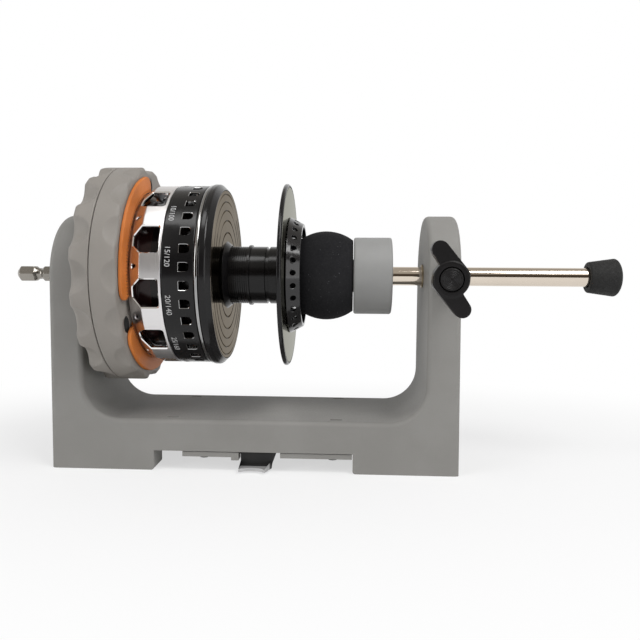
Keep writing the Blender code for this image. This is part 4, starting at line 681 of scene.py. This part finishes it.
drum = rounded([(-46.0, 29.5, 0.2), (-46.0, 31.75, 0.3), (-44.5, 31.75, 0.3), (-44.5, 31.0, 0.3),
                (-19.3, 31.0, 0.3), (-19.3, 29.5, 0.3)])
drum_black = steel("drum black", (0.007, 0.005, 0.005), (0.01, 0.007, 0.007), 0.2, 0.4, 0.002, metallic=0.0,
                   gloss=0.3)
along = measured(drum_black)[0]
# Painted reflection of the orange grip pads: the colour turns redder left of -39.4 mm along the spindle.
layer(drum_black, "Base Color", spread(drum_black, along, -39.2, -39.6), (0.024, 0.009, 0.009, 1))
piece("glossy_drum", lathed(drum), [drum_black], "chuck", "black_anodised", "spool_drum")


# The band beside the skirt is black anodised. It has thirty-three D-shaped ports with polished edges, and
# plain numbers printed beside them. A thin dark polished bead lies between it and the line flange.
dark_polish = steel("dark polished edge", (0.42, 0.42, 0.42), (0.34, 0.34, 0.34), 0.1, 0.4, 0.001)
outside = np.array([(-33.05, skirt_radius), (-20.5, skirt_radius)])
inside = np.array([(-33.05, 36.0), (-20.5, 36.0)])
port = rounded([(-26.4, 0), (-26.4, 1.7, 0.35), (-24.0, 1.7), (-22.4, 1.7, 1.55), (-22.4, 0)], 8)
port_ties = [(-26.4, 0, -27.4, 0), (-26.3, 1.6, -27.4, 1), (-22.95, 1.25, -21.4, 1), (-22.4, 0, -21.4, 0)]
left_end = rounded([(-27.4, skirt_radius), (-33.05, skirt_radius, 0.25), (-33.05, 36.0, 0.2), (-27.4, 36.0)],
                   3)
right_end = rounded([(-21.4, skirt_radius), (-20.5, skirt_radius, 0.5), (-20.5, 36.0, 0.2), (-21.4, 36.0)], 3)
piece("ported_band", pierced(port, port_ties, spaced(-5.1, count=33), outside, inside, left_end, right_end,
                             lip=0.18, rows=3),
      [glossy_black, dark_polish, glossy_black], "chuck", "black_anodised", "spool_band")
bead = rounded([(-20.3, 36.0, 0.1), (-20.3, 38.3, 0.6), (-18.9, 38.3, 0.6), (-18.9, 36.0, 0.1)])
piece("polished_bead", lathed(bead), [dark_polish], "chuck", "polished_aluminium", "trim_ring")
paint = moulded("marking paint", (0.50, 0.50, 0.50), (0.40, 0.40, 0.40), 0.5, 0.4, 0.01)
paint_radius, marking_place, first_marking, marking_pitch = 38.03, -31.7, 41, 28.9
marking_points, marking_faces, so_far = [], [], 0
for index in range(12):
    writing = bpy.data.curves.new("marking", "FONT")
    writing.body = str(10 + 5 * index) + "/" + str(100 + 20 * index)
    writing.size = 3.0
    writing.extrude = 0.02
    writing.align_x = "CENTER"
    words = bpy.data.objects.new("marking", writing)
    bpy.context.scene.collection.objects.link(words)
    bpy.context.view_layer.update()
    letters = bpy.data.meshes.new_from_object(words.evaluated_get(bpy.context.evaluated_depsgraph_get()))
    bpy.data.objects.remove(words)
    spots = spots_of(letters)
    around = np.radians(first_marking - marking_pitch * index) - spots[:, 0] / skirt_radius
    marking_points.append(placed(spots[:, 1] + marking_place, paint_radius + spots[:, 2], around))
    marking_faces += [[corner + so_far for corner in face.vertices] for face in letters.polygons]
    so_far += len(spots)
markings = bpy.data.meshes.new("band_markings")
marking_points = (np.concatenate(marking_points) + (stand_middle, 0, 0)) / 1000
markings.from_pydata(marking_points.tolist(), [], marking_faces)
markings.materials.append(paint)
markings = bpy.data.objects.new("band_markings", markings)
bpy.context.scene.collection.objects.link(markings)
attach(markings, "chuck")


# The line flange is a black anodised disc with a bevelled rim. A thin plate let into its face is turned with
# five grooves, which lie closer together towards the rim, and with a fine lathe pattern between them.
face_metal = steel("turned flange face", (0.33, 0.295, 0.25), (0.28, 0.25, 0.212), 0.08, 0.16, 0.003,
                   anisotropy=0.3)
flange = rounded([(-18.7, 11.6), (-18.7, 38.7, 0.5), (-16.4, 38.7, 0.6), (-14.2, 36.5, 0.1),
                  (-14.2, 36.3, 0.05), (-15.7, 36.3), (-15.7, 11.6)])
piece("line_flange_disc", lathed(flange), [glossy_black], "chuck", "black_anodised", "line_flange")
groove_radii = np.array([18.3, 23.4, 27.7, 31.4, 34.6])
# A curve a r^2 + b r + c is fitted that is close to a whole number at each groove. The colour is painted dark
# there as shade in the grooves, where |sin pi (a r^2 + b r + c)| is small.
radius = measured(face_metal)[1]
curve = np.polyfit(groove_radii, np.arange(5), 2)
beat = sums(face_metal, "ADD", sums(face_metal, "MULTIPLY", radius, curve[0]), curve[1])
beat = sums(face_metal, "ADD", sums(face_metal, "MULTIPLY", radius, beat), curve[2])
wave = sums(face_metal, "ABSOLUTE", sums(face_metal, "SINE", sums(face_metal, "MULTIPLY", beat, math.pi)))
layer(face_metal, "Base Color", spread(face_metal, wave, 0.3, 0.12), (0.03, 0.026, 0.022, 1))
shader_of(face_metal).inputs["Specular Tint"].default_value = (0.42, 0.40, 0.37, 1)
rows = (groove_radii[:, None] + (-0.35, -0.12, 0.0, 0.12, 0.35)).ravel()
sunk = np.tile([0, 0.22, 0.3, 0.22, 0], 5)
face_along = np.concatenate([[-14.26], -14.2 - sunk, [-14.2, -14.3, -15.5, -15.5]])
face_radius = np.concatenate([[14.5], rows, [36.0, 36.1, 36.1, 12.6]])
cone = rounded([(-15.5, 12.6), (-12.3, 12.6), (-12.2, 12.75, 0.05), (-14.1, 14.4), (-14.26, 14.5)])
piece("ringed_face", [(*turned(face_along, face_radius), 0), (*turned(*cone.T), 1)],
      [face_metal, glossy_black], "chuck", "turned_face", "flange_face")


# The arbor that line is wound on is black anodised. It is finely ribbed beside the flange, and has a raised
# ring left of its middle and two shallow grooves before the lip.
arbor_radius, rib_floor, groove_floor = 12.3, 11.75, 11.6
arbor = [(-15.86, 8.5), (-15.86, arbor_radius, 0.1)]
for rib in np.linspace(-14.6, -5.6, 11):
    arbor += [(rib, arbor_radius), (rib + 0.15, arbor_radius), (rib + 0.25, rib_floor),
              (rib + 0.5, rib_floor), (rib + 0.6, arbor_radius)]
arbor += [(-4.5, arbor_radius), (-4.5, 13.0, 0.25), (-3.3, 13.0, 0.25), (-3.3, arbor_radius)]
for start, end in ((3.2, 4.6), (8.2, 9.6)):
    arbor += [(start, arbor_radius, 0.1), (start, groove_floor, 0.1), (end, groove_floor, 0.1),
              (end, arbor_radius, 0.1)]
arbor = rounded(arbor + [(11.0, arbor_radius, 0.1), (11.0, 8.5)], 3)
piece("ribbed_arbor", lathed(arbor), [glossy_black], "chuck", "black_anodised", "spool_arbor")


# The front lip is a thin black disc with bevelled edges and a satin plate let into its right face. On it
# stands the nose ring, a black cone with twenty-eight drilled holes, whose bore seats the live centre's ball.
ball_middle, ball_radius = 28.6, 19.0


def seat_radius(along):
    """The radius of the ball's surface at a place along the spindle, 0.4 mm clear of it."""
    return math.sqrt(ball_radius ** 2 - (ball_middle - along) ** 2) + 0.4


lip = rounded([(11.3, seat_radius(13.1)), (11.3, 38.9, 0.5), (12.4, 38.9, 0.3), (13.1, 38.3, 0.2),
               (13.1, 37.9, 0.05), (12.2, 37.9), (12.2, seat_radius(13.1))])
piece("bevelled_lip", lathed(lip), [glossy_black], "chuck", "black_anodised", "front_lip")
pale_plate = steel("pale lip plate", (0.33, 0.33, 0.27), (0.28, 0.28, 0.23), 0.05, 0.2, 0.0006)
shader_of(pale_plate).inputs["Specular Tint"].default_value = (0.42, 0.42, 0.36, 1)
plate = rounded([(12.5, 12.45), (12.5, 37.6), (13.1, 37.6, 0.2), (13.1, 12.45)])
piece("satin_plate", lathed(plate), [pale_plate], "chuck", "pale_plate", "lip_plate")
nose_outside = rounded([(13.4, 24.9), (18.9, 22.0)])
nose_inside = np.array([(13.4, 23.1), (14.8, 22.8), (18.9, 20.6)])
hole_middle, hole_radius = 16.15, 1.1
hole_angle = np.linspace(np.pi, 0, 13)
nose_hole = np.column_stack([hole_middle + hole_radius * np.cos(hole_angle),
                             hole_radius * np.sin(hole_angle)])
cell_left, cell_right = 14.87, 17.8
nose_ties = [(15.05, 0, cell_left, 0), (15.37, 0.78, cell_left, 1), (16.93, 0.78, cell_right, 1),
             (17.25, 0, cell_right, 0)]
outer_at = np.interp([cell_left, cell_right], *nose_outside.T)
inner_at = np.interp([cell_left, cell_right], *nose_inside.T)
left_end = rounded([(cell_left, outer_at[0]), (13.4, 24.9, 0.2), (13.4, seat_radius(13.4)),
                    (14.8, seat_radius(14.8)), (14.8, 22.8), (cell_left, inner_at[0])], 3)
right_end = rounded([(cell_right, outer_at[1]), (18.9, 22.0, 0.25), (18.9, 20.6, 0.25),
                     (cell_right, inner_at[1])], 3)
polished_black = steel("polished black", (0.008, 0.008, 0.009), (0.010, 0.0095, 0.0105), 0.12, 0.4, 0.001,
                       metallic=0.0, gloss=0.55)
piece("drilled_nose", pierced(nose_hole, nose_ties, spaced(4, count=28), nose_outside, nose_inside, left_end,
                              right_end, lip=0.12, rows=3),
      [polished_black, polished_black, glossy_black], "chuck", "black_anodised", "nose_ring")


# The live centre is a ball of dense black foam on the spigot of a grey collar, which runs on two small ball
# bearings round the end of the tail rod.
foam = moulded("black foam", (0.013, 0.013, 0.0145), (0.019, 0.019, 0.0205), 0.8, 0.9, 0.12, gloss=0.15)
place = add(foam, "TexCoord").outputs["Object"]
cells = add(foam, "TexVoronoi", {"Vector": place, "Scale": 900.0}).outputs["Distance"]
specks = spread(foam, cells, 0.16, 0.06)
chance = add(foam, "TexNoise", {"Vector": place, "Scale": 320.0, "Detail": 2.0}).outputs[0]
specks = sums(foam, "MULTIPLY", specks, spread(foam, chance, 0.5, 0.62))
layer(foam, "Base Color", specks, (0.16, 0.16, 0.17, 1))
ball_flat, spigot_hole, spigot_end = 40.1, 7.3, 24.1
ball_angle = np.linspace(np.pi, math.acos((ball_flat - ball_middle) / ball_radius), 56)
ball_along = np.concatenate([ball_middle + ball_radius * np.cos(ball_angle),
                             [ball_flat, spigot_end, spigot_end]])
ball_across = np.concatenate([ball_radius * np.sin(ball_angle), [spigot_hole, spigot_hole, 0.0]])
piece("foam_ball", [(*turned(ball_along, ball_across), 0)], [foam], "live_centre", "black_rubber",
      "rubber_ball")
collar_grey = moulded("collar grey", (0.295, 0.295, 0.288), (0.27, 0.27, 0.264), 0.48, 0.6, 0.02)
collar = rounded([(24.4, 0), (24.4, 7.0, 0.4), (40.4, 7.0), (40.4, 16.4, 1.1), (56.5, 16.4, 1.1),
                  (56.5, 8.3, 0.4), (41.8, 8.3), (41.8, 0)], 6)
piece("collar_sleeve", lathed(collar, False), [collar_grey], "live_centre", "pale_grey_plastic", "collar")
refinished(bearing_steel, "collar_bearing_1", "collar_bearing_2")


# The tail rod is 8 mm ground steel, hard chromed. It slides in a brass bush in the right post, and ends in a
# flared cap of rough black rubber with a domed end.
chrome = steel("hard chrome", (0.74, 0.66, 0.565), (0.70, 0.62, 0.53), 0.08, 0.5, 0.0004)
rod = rounded([(42.2, 0), (42.2, 4.0, 0.2), (55.5, 4.0), (55.5, 5.5, 0.2), (56.5, 5.5, 0.2), (56.5, 4.0),
               (147.8, 4.0), (148.3, 3.5), (148.3, 0)])
piece("chromed_tail_rod", lathed(rod, False), [chrome], "tail", "chromed_rod", "tail_rod")
rough_rubber = moulded("rough rubber", (0.009, 0.009, 0.009), (0.018, 0.018, 0.0175), 0.62, 1.3, 0.35,
                       gloss=0.25)
cap_end, cap_radius, dome_height = 150.0, 8.0, 3.0
cap = rounded([(148.6, 0), (148.6, 4.3), (139.3, 4.3, 0.2), (139.3, 6.5, 0.6), (cap_end, cap_radius)])
dome = np.linspace(0, np.pi / 2, 14)[1:]
dome = np.column_stack([cap_end + dome_height * np.sin(dome), cap_radius * np.cos(dome)])
piece("rubber_end_cap", lathed(np.concatenate([cap, dome]), False), [rough_rubber], "tail", "black_rubber",
      "end_cap")
refinished(bearing_steel, "rod_clip")
brass = steel("turned brass", (0.34, 0.28, 0.19), (0.28, 0.23, 0.16), 0.42, 0.25, 0.006)
refinished(brass, "clamp_insert", "clamp_pad")
bush = rounded([(69.3, 4.1, 0.1), (69.3, 4.9, 0.1), (82.6, 4.9, 0.1), (82.6, 4.1, 0.1)])
piece("rod_bush_sleeve", lathed(bush), [brass], "stand", "brass", "rod_bush")


# The clamp knob is moulded in black nylon as a Z: a round hub with a thick wing each way, set off to opposite
# sides. A round cap closes the hub over the head of its steel stud, which presses a brass pad on the rod.
knob_nylon = moulded("knob nylon", (0.007, 0.0065, 0.0065), (0.010, 0.009, 0.0095), 0.34, 0.6, 0.03,
                     gloss=0.2)
tilt = math.radians(-21)
wing_back, wing_front = -37.1, -43.3
wing_offset, wing_root, wing_reach, wing_tip = 3.2, 3.9, 11.85, 3.2


def about_knob(profile):
    """A profile (distance in front of the spindle's plane, radius) turned round the knob's own axis."""
    profile = np.asarray(profile, float)
    angles = np.linspace(0, 2 * np.pi, 64, endpoint=False)
    radius = profile[:, 1:]
    points = np.stack([clamp_x + radius * np.cos(angles), -profile[:, :1] + 0 * angles,
                       axis_height + radius * np.sin(angles)], axis=2)
    return [(points.reshape(-1, 3), lattice(len(profile), len(angles)), 0)]


hub = rounded([(27.1, 0), (27.1, 5.5, 0.4), (37.1, 5.5, 0.5), (37.1, 6.8, 0.5), (43.7, 6.8, 0.7), (43.7, 0)])
knob = piece("wing_clamp_knob", about_knob(hub), [knob_nylon], "knob", "black_plastic", "wing_knob")
# A wing's outline wraps two circles. The tangents leave each at acos of (the difference of the radii over the
# distance between the middles) from the line between them.
wings = []
for way in (1, -1):
    ends = []
    for across, reach, size in ((way * wing_offset, 0.0, wing_root), (0.0, way * wing_reach, wing_tip)):
        ends.append((clamp_x + across * math.cos(tilt) + reach * math.sin(tilt),
                     axis_height - across * math.sin(tilt) + reach * math.cos(tilt), size))
    (x0, z0, r0), (x1, z1, r1) = ends
    facing = math.degrees(math.atan2(z1 - z0, x1 - x0))
    lean = math.degrees(math.acos((r0 - r1) / math.hypot(x1 - x0, z1 - z0)))
    outline = np.concatenate([arc((x1, z1), r1, facing - lean, facing + lean, 16),
                              arc((x0, z0), r0, facing + lean, facing + 360 - lean, 16)])
    wings.append(piece("wing_shape_" + str(len(wings)), prism(outline, wing_front, wing_back, "xzy"),
                       [knob_nylon]))
recess = piece("recess_cutter", about_knob([(42.4, 0), (42.4, 4.6), (50, 4.6), (50, 0)]), [knob_nylon])
bore = piece("stud_cutter", about_knob([(20, 0), (20, 3.3), (42.5, 3.3), (42.5, 0)]), [knob_nylon])
shaped(knob, cut(wings[0], "UNION"), cut(wings[1], "UNION"), cut(recess), cut(bore))
# Remeshed and then smoothed, the joints of the hub and its wings become small fillets.
remesh = ("REMESH", {"mode": "VOXEL", "voxel_size": 0.00024})
shaped(knob, remesh, ("SMOOTH", {"factor": 0.5, "iterations": 4}))
knob.data.shade_smooth()
fine_rings = [(44.3 - 0.16 * (step % 2), 3.5 - 0.28 * step, 0.05) for step in range(12)]
knob_disc = rounded([(42.6, 0), (42.6, 4.3, 0.2), (43.9, 4.3, 0.4), (44.3, 3.8, 0.15), *fine_rings,
                     (44.2, 0)])
piece("knob_round_cap", about_knob(knob_disc), [knob_nylon], "knob", "black_plastic", "knob_cap")
refinished(nickel, "knob_stud")


# The bench is a plain white sweep, and the light is soft and level: two panels overhead and one on each
# side. The room that shines in the metal is white behind the object, greyer overhead and in front of it, and
# dark in front at the height of the bench.
room_light, room_grey, room_bench = (0.32, 0.32, 0.325, 1), (0.46, 0.435, 0.40, 1), (0.07, 0.055, 0.042, 1)
white = (1, 1, 1, 1)
room = bpy.data.worlds.new("white room")
room.use_nodes = True
bpy.context.scene.world = room
rays = add(room, "LightPath").outputs
way = add(room, "SeparateXYZ", {0: add(room, "TexCoord").outputs["Generated"]}).outputs
behind = sums(room, "MULTIPLY", spread(room, way[1], -0.1, 0.3), spread(room, way[2], 0.8, 0.5))
mirrored = add(room, "Mix", {0: behind, 6: room_grey, 7: white}, data_type="RGBA").outputs[2]
in_front = spread(room, way[1], 0.1, -0.3)
bench_edge = sums(room, "MULTIPLY", in_front, spread(room, sums(room, "ABSOLUTE", way[2]), 0.6, 0.4))
mirrored = add(room, "Mix", {0: bench_edge, 6: mirrored, 7: room_bench}, data_type="RGBA").outputs[2]
lit = add(room, "Mix", {0: rays["Is Glossy Ray"], 6: room_light, 7: mirrored}, data_type="RGBA").outputs[2]
seen = sums(room, "MAXIMUM", rays["Is Camera Ray"], rays["Is Transmission Ray"])
shown = add(room, "Mix", {0: seen, 6: lit, 7: white}, data_type="RGBA")
room.node_tree.links.new(shown.outputs[2], room.node_tree.nodes["Background"].inputs["Color"])

sweep_white = bpy.data.materials.new("white sweep")
sweep_white.use_nodes = True
sweep_shader = shader_of(sweep_white)
sweep_shader.inputs["Base Color"].default_value = (0.9, 0.9, 0.9, 1)
sweep_shader.inputs["Roughness"].default_value = 0.8
rays = add(sweep_white, "LightPath").outputs
place = add(sweep_white, "TexCoord").outputs["Object"]
place = add(sweep_white, "Mapping", {"Vector": place, "Scale": (0.6, 1, 0)})
away = add(sweep_white, "VectorMath", {0: place.outputs[0]}, operation="LENGTH").outputs["Value"]
seen = sums(sweep_white, "MAXIMUM", rays["Is Camera Ray"], rays["Is Transmission Ray"])
seen = sums(sweep_white, "MAXIMUM", seen, rays["Is Glossy Ray"])
share = sums(sweep_white, "MULTIPLY", seen, spread(sweep_white, away, 0.05, 0.2, 0.6, 1.0))
glow = add(sweep_white, "Emission", {"Color": white, "Strength": 1.0}).outputs[0]
mixed = add(sweep_white, "MixShader", {0: share, 1: sweep_shader.outputs[0], 2: glow})
sweep_white.node_tree.links.new(mixed.outputs[0], sweep_white.node_tree.nodes["Material Output"].inputs[0])
sweep_reach, sweep_level = 3000.0, -0.02
sweep_corners = sweep_reach * np.array([(-1, -1), (1, -1), (1, 1), (-1, 1)])
sweep_points = np.column_stack([sweep_corners, np.full(4, sweep_level)])
floor = piece("floor", [(sweep_points, np.array([[0, 1, 2, 3]]), 0)], [sweep_white])
lamps = (("top", (0.3, -0.28, 0.62), 0.32, 2.5),
         ("over", (-0.16, -0.2, 0.68), 0.2, 0.6),
         ("left", (-0.95, -0.6, 0.35), 0.6, 4.2),
         ("right", (0.95, -0.6, 0.3), 0.6, 2.2))
for name, place, size, power in lamps:
    lamp = bpy.data.objects.new(name + "_panel", bpy.data.lights.new(name + "_panel", "AREA"))
    lamp.data.size = size
    lamp.data.energy = power
    lamp.location = place
    aim = np.array([0.0, 0.0, 0.07]) - place
    lamp.rotation_euler = (math.atan2(math.hypot(aim[0], aim[1]), -aim[2]), 0,
                           math.atan2(aim[1], aim[0]) - math.pi / 2)
    bpy.context.scene.collection.objects.link(lamp)
